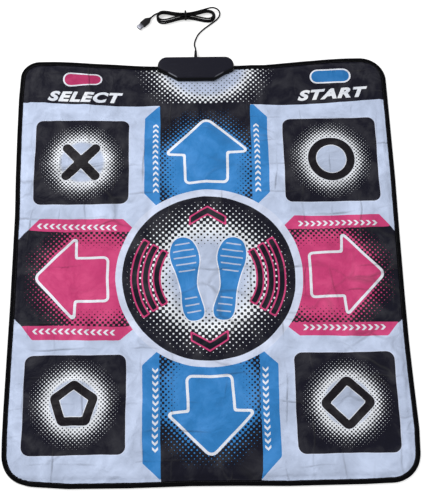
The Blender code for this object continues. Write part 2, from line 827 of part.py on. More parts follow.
def hank_point(turns):
    """Place on the hank after a number of turns from the plug's end. Seen from above, one
    turn is x = A cos t, y = a sin t + b sin 3t, which has two lobes and a waist. A, a and b
    shrink with the strand's number. The cord spirals in for a turn and out for the next, and
    climbs a layer in the half turn about each reversal, along the near side's run."""
    angle = math.radians(hank_start_angle) - 2 * math.pi * turns
    first_climb = (hank_start_angle + 90) / 360 + 1
    phase = turns - first_climb
    layers_done = max(math.floor(phase), 0)
    into = phase - layers_done
    strand = into if layers_done % 2 else 1 - abs(into)
    climb = 0.0
    for layer in range(hank_full_turns - 1):
        share = min(max((phase - layer) * 2 + 0.5, 0.0), 1.0)
        climb += share * share * (3 - 2 * share)
    x = (hank_half_length - strand * hank_length_step) * math.cos(angle)
    y = ((hank_swell - strand * hank_swell_step) * math.sin(angle)
         + (hank_pinch - strand * hank_pinch_step) * math.sin(3 * angle))
    near_waist = max(0.0, math.cos(math.pi / 2 * min(abs(x) / hank_lift_reach, 1.0)))
    z = cord_radius + climb * hank_layer_step + (tie_thickness + gap) * near_waist
    c = math.cos(hank_turn)
    s = math.sin(hank_turn)
    return Vector((hank_centre[0] + c * x - s * y, hank_centre[1] + s * x + c * y, z))


def hank_path():
    """The hank's points, with a straight end one cord diameter long at each end."""
    total = hank_full_turns + (hank_start_angle - hank_end_angle) / 360
    count = int(round(total * hank_points_per_turn))
    points = [hank_point(total * i / count) for i in range(count + 1)]
    first = (points[0] - points[1]).normalized()
    last = (points[-1] - points[-2]).normalized()
    points.insert(0, points[0] + first * cord_diameter)
    points.append(points[-1] + last * cord_diameter)
    return points


def least_gap(points, diameter):
    """Least distance between the tube and itself, measured on points along it."""
    path = np.array([tuple(p) for p in points])
    fine = []
    for a, b in zip(path, path[1:]):
        fine += [a + (b - a) * t for t in np.linspace(0, 1, 6, endpoint=False)]
    fine = np.array(fine)
    steps = np.linalg.norm(np.diff(fine, axis=0), axis=1)
    along = np.concatenate([[0.0], np.cumsum(steps)])
    least = 1.0
    for i in range(len(fine)):
        far = np.abs(along - along[i]) > 6 * diameter
        if far.any():
            distance = np.linalg.norm(fine[far] - fine[i], axis=1).min()
            least = min(least, float(distance))
    return least - diameter


def make_cable():
    hank = hank_path()
    tube("cable_hank", hank, cord_diameter, 1)
    finish("cable_hank", (0.015, 0.015, 0.017), 0.5)
    print("least gap of the hank to itself, mm:", round(least_gap(hank, cord_diameter) * 1000, 3))

    end = hank[-1]
    end_way = (hank[-1] - hank[-2]).normalized()
    start = Vector((box_centre_x, relief_tip_y + gap, relief_height))
    meet = end + end_way * gap
    route = [start, start + Vector((0, cord_diameter, 0))]
    route += [Vector(p) for p in cable_route]
    route += [meet + end_way * cord_diameter, meet]
    free = smooth_path(route, 2.4 * cord_diameter)
    tube("cable_free", free, cord_diameter, 2)
    finish("cable_free", (0.015, 0.015, 0.017), 0.5)

    begin = hank[0]
    begin_way = (hank[0] - hank[1]).normalized()
    way = Vector((math.cos(plug_angle), math.sin(plug_angle), 0))
    neck = Vector((*plug_start, grip_height / 2)) - way * gap
    meet = begin + begin_way * gap
    route = [meet, meet + begin_way * cord_diameter]
    route += [Vector(p) for p in lead_route]
    route += [neck - way * cord_diameter, neck]
    lead = smooth_path(route, 1.2 * cord_diameter)
    tube("plug_lead", lead, cord_diameter, 2)
    finish("plug_lead", (0.015, 0.015, 0.017), 0.5)
    lengths = [path_length(np.array([tuple(p) for p in points])) for points in (free, hank, lead)]
    print("cord length, free, hank, lead and all, mm:",
          [round(1000 * value) for value in lengths + [sum(lengths)]])


def make_tie():
    """A flat band round the waist, off centre because the far side is a strand wider."""
    waist = hank_swell - hank_pinch
    step = hank_swell_step - hank_pinch_step
    reach = cord_radius + tie_slack
    near = -waist - reach
    far = waist + step / 2 + reach
    height = cord_diameter + (hank_full_turns - 1) * hank_layer_step + gap + tie_slack
    middle_y = (near + far) / 2
    middle_z = tie_thickness + height / 2
    inner = rectangle(middle_y, middle_z, far - near, height, cord_radius)
    outer = offset_corners(inner, tie_thickness)
    bm = bmesh.new()
    edges = add_loop(bm, rounded(outer), 0.0) + add_loop(bm, rounded(inner), 0.0)
    bmesh.ops.triangle_fill(bm, use_beauty=True, edges=edges, normal=(0, 0, 1))
    thicken(bm, tie_width)
    place = (Matrix.Translation((*hank_centre, 0)) @ Matrix.Rotation(hank_turn, 4, "Z")
             @ Matrix.Rotation(math.pi / 2, 4, "Z") @ Matrix.Rotation(math.pi / 2, 4, "X")
             @ Matrix.Translation((0, 0, tie_width / 2)))
    bmesh.ops.transform(bm, matrix=place, verts=bm.verts)
    add_object("cable_tie", bm)
    finish("cable_tie", (0.02, 0.02, 0.02), 0.6)


def plug_frame():
    """Matrix that takes plug space, +X out of the plug's mouth, to its place on the floor."""
    return (Matrix.Translation((*plug_start, grip_height / 2))
            @ Matrix.Rotation(plug_angle, 4, "Z"))


def oval(along, width, height, power, count=16):
    """A ring across the plug: a superellipse, round at power 1 and squarer as it falls."""
    ring = []
    for i in range(count):
        angle = 2 * math.pi * (i + 0.5) / count
        c = math.cos(angle)
        s = math.sin(angle)
        y = math.copysign(abs(c) ** power, c) * width / 2
        z = math.copysign(abs(s) ** power, s) * height / 2
        ring.append(plug_frame() @ Vector((along, y, z)))
    return ring


def plug_box(name, x0, x1, width, z0, z1, y=0.0):
    """A block in plug space."""
    frame = plug_frame()
    corners = ((-1, z0), (1, z0), (1, z1), (-1, z1))
    sections = []
    for x in (x0, x1):
        sections.append([frame @ Vector((x, y + side * width / 2, z)) for side, z in corners])
    return loft(name, sections)


def make_plug():
    grip_start = plug_neck_length
    grip_end = grip_start + grip_length
    neck = relief_tip_radius * 2
    profile = [(0.0, neck, neck, 1.0), (grip_start, neck * 1.3, neck * 1.2, 1.0),
               (grip_start + 0.0015, grip_width * 0.62, grip_height * 0.80, 0.7),
               (grip_start + 0.0060, grip_width * 0.92, grip_height * 0.97, 0.5),
               (grip_start + 0.0100, grip_width, grip_height, 0.45),
               (grip_end - 0.0010, grip_width, grip_height, 0.45),
               (grip_end, grip_width * 0.93, grip_height * 0.88, 0.45)]
    grip = loft("plug_grip", [oval(*row) for row in profile], smooth=True)
    half_height = plug_shell_height / 2
    socket_start = grip_end - plug_socket_depth
    pocket = plug_box("cut_plug_socket", socket_start, grip_end + plug_socket_depth,
                      plug_shell_width + 2 * gap, -half_height - gap, half_height + gap)
    combine(grip, as_tool(pocket), "DIFFERENCE")
    finish("plug_grip", (0.018, 0.018, 0.02), 0.5)

    shell_start = socket_start + gap
    shell_end = grip_end + plug_shell_reach
    shell = plug_box("plug_shell", shell_start, shell_end, plug_shell_width, -half_height, half_height)
    bore_half = half_height - plug_shell_wall
    bore_width = plug_shell_width - 2 * plug_shell_wall
    bore = plug_box("cut_plug_bore", shell_start - gap, shell_end + gap, bore_width,
                    -bore_half, bore_half)
    combine(shell, as_tool(bore), "DIFFERENCE")
    finish("plug_shell", (0.72, 0.72, 0.73), 0.25, 1.0)

    tongue_bottom = -bore_half + gap
    tongue_top = tongue_bottom + tongue_thickness
    tongue_end = shell_end - 0.0012
    plug_box("plug_tongue", shell_start, tongue_end, bore_width - 2 * gap, tongue_bottom, tongue_top)
    finish("plug_tongue", (0.85, 0.85, 0.84), 0.5)
    for index in range(4):
        y = (index - 1.5) * contact_pitch
        name = f"plug_contact_{index + 1}"
        plug_box(name, tongue_end - 0.0010 - contact_length, tongue_end - 0.0010, contact_width,
                 tongue_top + gap, tongue_top + gap + contact_thickness, y)
        finish(name, (0.85, 0.65, 0.25), 0.3, 1.0)


def main():
    clear_scene()
    zones = zone_outlines()
    windows = [rounded(offset_corners(corners, gap)) for corners in zones.values()]
    make_backing()
    make_padding()
    make_lower_film()
    make_spacer(windows)
    make_upper_film(windows)
    make_cover(windows)
    make_binding()
    make_zones(zones)
    make_lower_shell()
    make_upper_shell()
    make_board()
    make_clamp()
    make_case_screws()
    make_strain_relief()
    make_wires()
    make_cable()
    make_tie()
    make_plug()


main()
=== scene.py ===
import math

import bmesh
import bpy
import numpy as np
from mathutils import Matrix, Vector


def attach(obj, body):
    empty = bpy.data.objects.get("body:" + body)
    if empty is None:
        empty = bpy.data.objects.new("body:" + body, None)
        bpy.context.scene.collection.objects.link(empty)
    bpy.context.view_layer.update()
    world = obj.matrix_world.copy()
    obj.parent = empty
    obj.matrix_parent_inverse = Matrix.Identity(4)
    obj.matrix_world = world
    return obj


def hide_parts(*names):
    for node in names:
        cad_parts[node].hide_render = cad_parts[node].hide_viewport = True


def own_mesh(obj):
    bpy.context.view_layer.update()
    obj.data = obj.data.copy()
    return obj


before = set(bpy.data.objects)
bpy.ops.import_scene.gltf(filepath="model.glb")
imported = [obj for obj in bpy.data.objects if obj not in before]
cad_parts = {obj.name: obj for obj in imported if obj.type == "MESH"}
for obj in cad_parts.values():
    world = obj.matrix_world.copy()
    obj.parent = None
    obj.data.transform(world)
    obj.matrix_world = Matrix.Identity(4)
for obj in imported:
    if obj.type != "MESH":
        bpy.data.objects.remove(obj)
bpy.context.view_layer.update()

scene = bpy.context.scene
scene.view_settings.view_transform = "Standard"

# Dance mat controller. Metres; the floor is z = 0, X runs across the mat, +Y points to its
# control box. The print's own origin is the middle of the round patch, at y = printY.
printY = -0.048
boxX = -0.0205
gap = 0.0003


# Camera, at the photograph's place and angle

view = {
    "place": (-0.02578, -0.72376, 1.99415),
    "right": (0.999777, -0.018057, 0.010913),
    "up": (0.013117, 0.937096, 0.348826),
    "back": (-0.016525, -0.348605, 0.937124),
    "lens": 72.87,
}


def makeCamera():
    data = bpy.data.cameras.new("camera")
    data.lens = view["lens"]
    data.clip_end = 30.0
    camera = bpy.data.objects.new("camera", data)
    axes = Matrix((view["right"], view["up"], view["back"])).transposed()
    camera.matrix_world = Matrix.Translation(view["place"]) @ axes.to_4x4()
    scene.collection.objects.link(camera)
    scene.camera = camera


makeCamera()
print("camera placed")


# Small maths that the pieces share

def ramp(value, start, end):
    # 0 before start, 1 after end, and 3t^2 - 2t^3 between them
    t = np.clip((value - start) / (end - start), 0.0, 1.0)
    return t * t * (3.0 - 2.0 * t)


def unit(vectors):
    return vectors / np.linalg.norm(vectors, axis=-1, keepdims=True)


def circle(angle, radius):
    return radius * np.column_stack([np.cos(angle), np.sin(angle)])


def distanceAlong(points):
    return np.concatenate([[0.0], np.cumsum(np.linalg.norm(np.diff(points, axis=0), axis=1))])


def pathLength(points):
    return float(distanceAlong(points)[-1])


def respace(points, spacing):
    # The same path with points an even distance apart along it
    along = distanceAlong(points)
    wanted = np.linspace(0.0, along[-1], max(int(round(along[-1] / spacing)), 2) + 1)
    return np.column_stack([np.interp(wanted, along, points[:, k]) for k in range(points.shape[1])])


def smoothPath(route, spacing):
    # A Catmull-Rom curve through the route's points, then respaced
    route = np.array(route, dtype=float)
    knots = np.vstack([2 * route[0] - route[1], route, 2 * route[-1] - route[-2]])
    p0, p1, p2, p3 = (knots[k:len(knots) - 3 + k, None, :] for k in range(4))
    t = np.linspace(0, 1, 24, endpoint=False)[None, :, None]
    curve = 0.5 * (2 * p1 + (p2 - p0) * t + (2 * p0 - 5 * p1 + 4 * p2 - p3) * t ** 2
                   + (3 * p1 - p0 - 3 * p2 + p3) * t ** 3)
    return respace(np.vstack([curve.reshape(-1, 3), route[-1]]), spacing)


def turned(local, angle, x, y, z=0.0):
    # Turned about the upright axis, then moved to (x, y, z)
    c, s = math.cos(angle), math.sin(angle)
    return local @ np.array([[c, s, 0], [-s, c, 0], [0, 0, 1]]) + (x, y, z)


def signedPower(value, power):
    return np.sign(value) * np.abs(value) ** power


def roundedPolygon(corners, steps, perSide=0):
    # Each corner (x, y, radius) becomes an arc that touches both of its sides; perSide points
    # are set between one arc and the next
    points = []
    for i, (x, y, radius) in enumerate(corners):
        here = Vector((x, y))
        toBefore = (Vector(corners[i - 1][:2]) - here).normalized()
        toAfter = (Vector(corners[(i + 1) % len(corners)][:2]) - here).normalized()
        half = toBefore.angle(toAfter) / 2
        centre = here + (toBefore + toAfter).normalized() * (radius / math.sin(half))
        first = here + toBefore * (radius / math.tan(half)) - centre
        last = here + toAfter * (radius / math.tan(half)) - centre
        start = math.atan2(first.y, first.x)
        sweep = (math.atan2(last.y, last.x) - start + math.pi) % (2 * math.pi) - math.pi
        angles = start + sweep * np.linspace(0, 1, steps + 1)
        points.append(np.array(centre) + circle(angles, radius))
    if perSide:
        share = np.linspace(0, 1, perSide + 2)[1:-1, None]
        sides = [a[-1] + (b[0] - a[-1]) * share for a, b in zip(points, points[1:] + points[:1])]
        points = [part for pair in zip(points, sides) for part in pair]
    return np.vstack(points)


def offsetCorners(corners, distance):
    # Moves each side of a counterclockwise polygon outwards, and its corner arcs with it
    moved = []
    for i, (x, y, radius) in enumerate(corners):
        here = Vector((x, y))
        before = here - Vector(corners[i - 1][:2])
        after = Vector(corners[(i + 1) % len(corners)][:2]) - here
        normalA = Vector((before.y, -before.x)).normalized()
        normalB = Vector((after.y, -after.x)).normalized()
        middle = (normalA + normalB).normalized()
        place = here + middle * (distance / middle.dot(normalA))
        outwards = 1 if before.x * after.y > before.y * after.x else -1
        moved.append((place.x, place.y, max(radius + outwards * distance, gap)))
    return moved


def polygonDistance(corners, x, y):
    # Signed distance, below 0 inside: the least distance to a side, with its sign from how
    # often a ray to the right crosses the sides
    least = np.full(np.shape(x), 9.0)
    inside = np.zeros(np.shape(x), bool)
    for (ax, ay), (bx, by) in zip(corners, np.roll(corners, -1, axis=0)):
        dx, dy = bx - ax, by - ay
        share = np.clip(((x - ax) * dx + (y - ay) * dy) / (dx * dx + dy * dy), 0.0, 1.0)
        least = np.minimum(least, np.hypot(x - ax - share * dx, y - ay - share * dy))
        if dy:
            inside ^= ((ay > y) != (by > y)) & (x < dx * (y - ay) / dy + ax)
    return np.where(inside, -least, least)


def rectDistance(x, y, halfX, halfY, radius):
    # Signed distance to a rectangle at the origin with rounded corners
    qx = np.abs(x) - halfX + radius
    qy = np.abs(y) - halfY + radius
    outside = np.hypot(np.maximum(qx, 0), np.maximum(qy, 0))
    return outside + np.minimum(np.maximum(qx, qy), 0) - radius


# Meshes from arrays

def putMesh(name, points, faces, material, body="mat", sharp=40.0):
    mesh = bpy.data.meshes.new(name)
    mesh.from_pydata(np.asarray(points).tolist(), [], faces)
    mesh.shade_smooth()
    mesh.set_sharp_from_angle(angle=math.radians(sharp))
    mesh.materials.append(material)
    obj = bpy.data.objects.new(name, mesh)
    scene.collection.objects.link(obj)
    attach(obj, body)
    return obj


def putUvs(mesh, name, values):
    # A UV map from one (u, v) for each vertex
    corners = np.empty(len(mesh.loops), int)
    mesh.loops.foreach_get("vertex_index", corners)
    mesh.uv_layers.new(name=name).data.foreach_set("uv", values[corners].ravel())


def ringFaces(count, around, closed=False, caps=True):
    # Four-sided faces between each ring and the next, and one face over each end
    index = np.arange(count * around).reshape(count, around)
    lower, upper = (index, np.roll(index, -1, axis=0)) if closed else (index[:-1], index[1:])
    quads = np.stack([lower, np.roll(lower, -1, 1), np.roll(upper, -1, 1), upper], axis=-1)
    faces = quads.reshape(-1, 4).tolist()
    if caps and not closed:
        faces += [index[0][::-1].tolist(), index[-1].tolist()]
    return faces


def ringPiece(name, rings, material, body="mat", sharp=40.0, closed=False):
    rings = np.asarray(rings)
    faces = ringFaces(rings.shape[0], rings.shape[1], closed)
    return putMesh(name, rings.reshape(-1, 3), faces, material, body, sharp)


def sweep(path, profile):
    # A profile (side, up) carried along a path. Side is level and up square to both
    way = unit(np.gradient(path, axis=0))
    side = unit(np.cross((0.0, 0.0, 1.0), way))
    up = np.cross(way, side)
    return (path[:, None, :] + profile[..., 0:1] * side[:, None, :]
            + profile[..., 1:2] * up[:, None, :])


def circleProfile(radius, count):
    return circle(2 * np.pi * np.arange(count) / count, radius)


def turnedRings(profile, origin, axis, count):
    # Rings of radius r at distance a along an axis: origin + a axis + r (cos t, sin t)
    turn = np.array(Vector((0, 0, 1)).rotation_difference(Vector(axis)).to_matrix())
    profile = np.array(profile)
    angle = 2 * np.pi * np.arange(count) / count
    local = np.stack([profile[:, 1:] * np.cos(angle), profile[:, 1:] * np.sin(angle),
                      profile[:, :1] + 0 * angle], axis=-1)
    return np.array(origin) + local @ turn.T


# Materials

def srgb(red, green, blue):
    # A colour as it is seen, from 0 to 255, made linear
    value = np.array([red, green, blue]) / 255.0
    linear = np.where(value <= 0.04045, value / 12.92, ((value + 0.055) / 1.055) ** 2.4)
    return (*[float(v) for v in linear], 1.0)


def addNode(tree, kind, inputs=None, **properties):
    made = tree.nodes.new(kind)
    for key, value in properties.items():
        setattr(made, key, value)
    for key, value in (inputs or {}).items():
        if isinstance(value, bpy.types.NodeSocket):
            tree.links.new(value, made.inputs[key])
        else:
            made.inputs[key].default_value = value
    return made


def calc(tree, operation, first, second=0.0, third=0.0):
    inputs = {0: first, 1: second, 2: third}
    return addNode(tree, "ShaderNodeMath", inputs, operation=operation).outputs[0]


def calcRamp(tree, value, start, end, low=0.0, high=1.0):
    inputs = {"Value": value, "From Min": start, "From Max": end, "To Min": low, "To Max": high}
    return addNode(tree, "ShaderNodeMapRange", inputs).outputs["Result"]


def calcMix(tree, mask, first, second):
    inputs = {0: mask, 6: first, 7: second}
    return addNode(tree, "ShaderNodeMix", inputs, data_type="RGBA").outputs[2]


def split(tree, vector):
    return addNode(tree, "ShaderNodeSeparateXYZ", {0: vector}).outputs


def attribute(tree, name):
    return split(tree, addNode(tree, "ShaderNodeAttribute", attribute_name=name).outputs["Vector"])


def place(tree):
    return addNode(tree, "ShaderNodeTexCoord").outputs["Object"]


def noise(tree, vector, scale, detail=3.0, roughness=0.5):
    inputs = {"Vector": vector, "Scale": scale, "Detail": detail, "Roughness": roughness}
    return addNode(tree, "ShaderNodeTexNoise", inputs).outputs[0]


def voronoi(tree, vector, scale, feature="F1"):
    inputs = {"Vector": vector, "Scale": scale}
    return addNode(tree, "ShaderNodeTexVoronoi", inputs, feature=feature).outputs["Distance"]


def stretched(tree, vector, scale):
    return addNode(tree, "ShaderNodeMapping", {"Vector": vector, "Scale": scale}).outputs[0]


def makeGroup(name, inputs, outputs, build):
    # A shader node group: build gets its tree and its inputs by name, and gives its outputs
    tree = bpy.data.node_groups.new(name, "ShaderNodeTree")
    for key, kind in inputs.items():
        tree.interface.new_socket(key, in_out="INPUT", socket_type="NodeSocket" + kind)
    for key in outputs:
        tree.interface.new_socket(key, in_out="OUTPUT", socket_type="NodeSocketFloat")
    given = tree.nodes.new("NodeGroupInput")
    result = build(tree, given.outputs)
    taken = tree.nodes.new("NodeGroupOutput")
    for key in outputs:
        tree.links.new(result[key], taken.inputs[key])
    return tree


def useGroup(tree, group, **inputs):
    return addNode(tree, "ShaderNodeGroup", inputs, node_tree=group).outputs


def halftoneNodes(tree, given):
    # Staggered dots: cell = 1/2 + cos(2 pi u / p) cos(2 pi v / p) / 2, inked where it is over
    # 1 - coverage. Half coverage is a checkerboard, and more leaves dots of bare cloth
    parts = split(tree, given["Vector"])
    waves = []
    for k in (0, 1):
        turns = calc(tree, "DIVIDE", parts[k], given["Pitch"])
        waves.append(calc(tree, "COSINE", calc(tree, "MULTIPLY", turns, 2 * math.pi)))
    cell = calc(tree, "MULTIPLY_ADD", calc(tree, "MULTIPLY", *waves), 0.5, 0.5)
    bare = calc(tree, "SUBTRACT", 1.0, given["Coverage"])
    return {"Ink": calc(tree, "GREATER_THAN", cell, bare)}


def weaveNodes(tree, given):
    # Threads over and under: |sin| across one way where a checker is 1, the other way else
    parts = split(tree, given["Vector"])
    across = [calc(tree, "MULTIPLY", calc(tree, "MULTIPLY", parts[k], given["Threads"]), math.pi)
              for k in (0, 1)]
    waves = [calc(tree, "SINE", a) for a in across]
    sign = calc(tree, "GREATER_THAN", calc(tree, "MULTIPLY", *waves), 0.0)
    bumps = [calc(tree, "ABSOLUTE", w) for w in waves]
    other = calc(tree, "MULTIPLY", calc(tree, "SUBTRACT", 1.0, sign), bumps[1])
    return {"Height": calc(tree, "MULTIPLY_ADD", sign, bumps[0], other)}


def crumpleNodes(tree, given):
    # Soft folds from noise, and sharp creases where warped cells meet, in patches
    size = given["Scale"]
    warp = addNode(tree, "ShaderNodeTexNoise", {"Vector": given["Vector"], "Scale": size})
    vector = addNode(tree, "ShaderNodeVectorMath",
                     {0: warp.outputs["Color"], 1: (0.09, 0.09, 0.0), 2: given["Vector"]},
                     operation="MULTIPLY_ADD").outputs[0]
    fold = noise(tree, vector, calc(tree, "MULTIPLY", size, 2.6), 4.0, 0.55)
    edge = voronoi(tree, stretched(tree, vector, (1.0, 1.6, 1.0)), size, "DISTANCE_TO_EDGE")
    crease = calcRamp(tree, edge, 0.0, 0.055, 1.0, 0.0)
    broad = noise(tree, given["Vector"], calc(tree, "MULTIPLY", size, 0.45))
    patch = calcRamp(tree, broad, 0.50, 0.66)
    return {"Crease": calc(tree, "MULTIPLY", crease, patch), "Fold": fold}


def packingNodes(tree, given):
    # Creases of a folded cloth: thin lines at even spacing both ways, bent a little by noise
    # and worn away in patches
    parts = split(tree, given["Vector"])
    sway = noise(tree, given["Vector"], 6.0, 2.0)
    lines = []
    for k in (0, 1):
        bent = calc(tree, "MULTIPLY_ADD", sway, 0.05, parts[k])
        phase = calc(tree, "PINGPONG", bent, calc(tree, "MULTIPLY", given["Spacing"], 0.5))
        line = calcRamp(tree, phase, 0.0, 0.0028, 1.0, 0.0)
        stretch = (8.0, 16.0, 1.0) if k else (16.0, 8.0, 1.0)
        kept = noise(tree, stretched(tree, given["Vector"], stretch), 1.0, 2.0)
        lines.append(calc(tree, "MULTIPLY", line, calcRamp(tree, kept, 0.50, 0.66)))
    return {"Crease": calc(tree, "MAXIMUM", *lines)}


def grainNodes(tree, given):
    # Moulded grain: shallow round pits, with finer noise on them
    pits = voronoi(tree, given["Vector"], given["Scale"])
    fine = noise(tree, given["Vector"], calc(tree, "MULTIPLY", given["Scale"], 2.3), 2.0)
    return {"Height": calc(tree, "MULTIPLY_ADD", fine, 0.5, pits), "Fine": fine}


def scuffNodes(tree, given):
    # Handling marks: stretched fine noise that shows only in broad patches
    drawn = stretched(tree, given["Vector"], (1.0, 5.0, 1.0))
    streak = calcRamp(tree, noise(tree, drawn, given["Scale"], 5.0, 0.65), 0.56, 0.72)
    patch = noise(tree, given["Vector"], calc(tree, "MULTIPLY", given["Scale"], 0.12))
    return {"Mask": calc(tree, "MULTIPLY", streak, calcRamp(tree, patch, 0.45, 0.65))}


vectorAndScale = {"Vector": "Vector", "Scale": "Float"}
halftone = makeGroup("Halftone", {"Vector": "Vector", "Pitch": "Float", "Coverage": "Float"},
                     ["Ink"], halftoneNodes)
weave = makeGroup("Weave", {"Vector": "Vector", "Threads": "Float"}, ["Height"], weaveNodes)
crumple = makeGroup("Crumple", vectorAndScale, ["Crease", "Fold"], crumpleNodes)
packing = makeGroup("Packing", {"Vector": "Vector", "Spacing": "Float"}, ["Crease"], packingNodes)
grain = makeGroup("Grain", vectorAndScale, ["Height", "Fine"], grainNodes)
scuffs = makeGroup("Scuffs", vectorAndScale, ["Mask"], scuffNodes)


def scuffed(tree, where, scale):
    return useGroup(tree, scuffs, Vector=where, Scale=scale)["Mask"]


def drifting(tree, where, scale, low, high):
    # A value that wanders between low and high
    return calcRamp(tree, noise(tree, where, scale), 0.3, 0.7, low, high)


def newMaterial(name, **constants):
    # Constants go on the shader's own sockets; underscores stand for spaces
    material = bpy.data.materials.new(name)
    material.use_nodes = True
    shader = material.node_tree.nodes["Principled BSDF"]
    for key, value in constants.items():
        shader.inputs[key.replace("_", " ")].default_value = value
    return material, material.node_tree, shader


def connect(tree, shader, colour=None, roughness=None, height=None, depth=0.001):
    if colour is not None:
        tree.links.new(colour, shader.inputs["Base Color"])
    if roughness is not None:
        tree.links.new(roughness, shader.inputs["Roughness"])
    if height is not None:
        bump = addNode(tree, "ShaderNodeBump", {"Height": height, "Distance": depth})
        tree.links.new(bump.outputs[0], shader.inputs["Normal"])


def mouldedMaterial(name, colour, marked, roughness, pits=2600.0, depth=0.00006, scuffScale=90.0,
                    **constants):
    # Plastic, rubber or metal with grain, slow colour drift and handling marks
    material, tree, shader = newMaterial(name, **constants)
    where = place(tree)
    surface = useGroup(tree, grain, Vector=where, Scale=pits)
    marks = scuffed(tree, where, scuffScale)
    drift = drifting(tree, where, 35.0, 0.0, 0.35)
    shade = calcMix(tree, calc(tree, "MAXIMUM", marks, drift), colour, marked)
    rough = calc(tree, "MULTIPLY_ADD", surface["Fine"], 0.16, roughness - 0.08)
    rough = calc(tree, "MULTIPLY_ADD", marks, 0.12, rough)
    connect(tree, shader, shade, rough, surface["Height"], depth)
    return material


# Cord: leaves the box, lies in one bend on the floor, and is put up in a tied hank of four
# and a bit turns, whose other end goes to the plug. It runs the frame's route, a little thicker.

cord = {
    "diameter": 0.0036, "sides": 14, "spacing": 0.0024,
    "exit": (boxX, 0.4940, 0.0095),
    "free": [(-0.0216, 0.5030, 0.0085), (-0.0228, 0.5109, 0.0052), (-0.0222, 0.5203, 0.0024),
             (-0.0190, 0.5308, 0.0020), (-0.0135, 0.5418, 0.0020), (-0.0045, 0.5523, 0.0020),
             (0.0063, 0.5617, 0.0020), (0.0180, 0.5712, 0.0020), (0.0288, 0.5804, 0.0022),
             (0.0357, 0.5906, 0.0030), (0.0358, 0.6000, 0.0056), (0.0290, 0.6060, 0.0087),
             (0.0185, 0.6073, 0.0112)],
    "lead": [(-0.1142, 0.5952, 0.0026)],
}
hank = {
    "centre": (-0.0424, 0.5880), "turn": math.radians(2.3), "halfLength": 0.0666,
    "swell": 0.01224, "pinch": 0.00744, "lengthStep": 0.00380, "swellStep": 0.00514,
    "pinchStep": 0.00119, "layerStep": 0.00368, "startAngle": 155.0, "endAngle": 50.0,
    "fullTurns": 4, "liftReach": 0.030, "pointsPerTurn": 48,
}
tie = {"width": 0.0040, "thickness": 0.0008, "slack": 0.0006}
plug = {
    "start": (-0.1215, 0.5872), "angle": math.radians(224.0), "neck": 0.0050, "grip": 0.0240,
    "gripWidth": 0.0155, "gripHeight": 0.0080, "shellWidth": 0.0120, "shellHeight": 0.0045,
    "wall": 0.00035, "reach": 0.0120, "socket": 0.0040, "cordEnd": 0.0046,
}


def hankPath():
    # Seen from above one turn is x = A cos t, y = a sin t + b sin 3t, two lobes and a waist.
    # A, a and b shrink with the strand's number; a new layer starts at each reversal
    total = hank["fullTurns"] + (hank["startAngle"] - hank["endAngle"]) / 360
    turns = np.linspace(0, total, int(round(total * hank["pointsPerTurn"])) + 1)
    angle = math.radians(hank["startAngle"]) - 2 * np.pi * turns
    phase = turns - (hank["startAngle"] + 90) / 360 - 1
    layersDone = np.maximum(np.floor(phase), 0)
    into = phase - layersDone
    strand = np.where(layersDone % 2 == 1, into, 1 - np.abs(into))
    climb = sum(ramp((phase - layer) * 2 + 0.5, 0.0, 1.0) for layer in range(hank["fullTurns"] - 1))
    x = (hank["halfLength"] - strand * hank["lengthStep"]) * np.cos(angle)
    y = ((hank["swell"] - strand * hank["swellStep"]) * np.sin(angle)
         + (hank["pinch"] - strand * hank["pinchStep"]) * np.sin(3 * angle))
    nearWaist = np.maximum(0, np.cos(np.pi / 2 * np.minimum(np.abs(x) / hank["liftReach"], 1)))
    z = cord["diameter"] / 2 + climb * hank["layerStep"] + (tie["thickness"] + gap) * nearWaist
    points = turned(np.column_stack([x, y, z]), hank["turn"], *hank["centre"])
    first = points[0] + unit(points[0] - points[1]) * cord["diameter"]
    last = points[-1] + unit(points[-1] - points[-2]) * cord["diameter"]
    return np.vstack([first, points, last])


def cordPath():
    wound = hankPath()
    d = cord["diameter"]
    start = np.array(cord["exit"])
    endWay = unit(wound[-1] - wound[-2])
    startWay = unit(wound[0] - wound[1])
    free = [start, start + (0, d, 0)] + cord["free"] + [wound[-1] + endWay * d, wound[-1]]
    way = np.array([math.cos(plug["angle"]), math.sin(plug["angle"]), 0])
    neck = np.array([*plug["start"], plug["gripHeight"] / 2])
    lead = [wound[0], wound[0] + startWay * d] + cord["lead"] + [neck - way * d, neck]
    parts = [smoothPath(free, cord["spacing"])[:-1], respace(wound, cord["spacing"])[::-1][:-1],
             smoothPath(lead, cord["spacing"])]
    return np.vstack(parts)


def makeCord():
    material, tree, shader = newMaterial("cordJacket", Specular_IOR_Level=0.07)
    where = place(tree)
    marks = scuffed(tree, where, 160.0)
    skin = useGroup(tree, grain, Vector=where, Scale=1800.0)
    shade = calcMix(tree, marks, srgb(5, 5, 7), srgb(24, 24, 28))
    rough = drifting(tree, where, 60.0, 0.34, 0.5)
    connect(tree, shader, shade, rough, skin["Height"], 0.00004)
    path = cordPath()
    rings = sweep(path, circleProfile(cord["diameter"] / 2, cord["sides"]))
    obj = ringPiece("cord", rings, material)
    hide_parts("cable_free", "cable_hank", "plug_lead")
    return obj, path


cordPiece, cordLine = makeCord()
print("cord laid, metres:", round(pathLength(cordLine), 3))
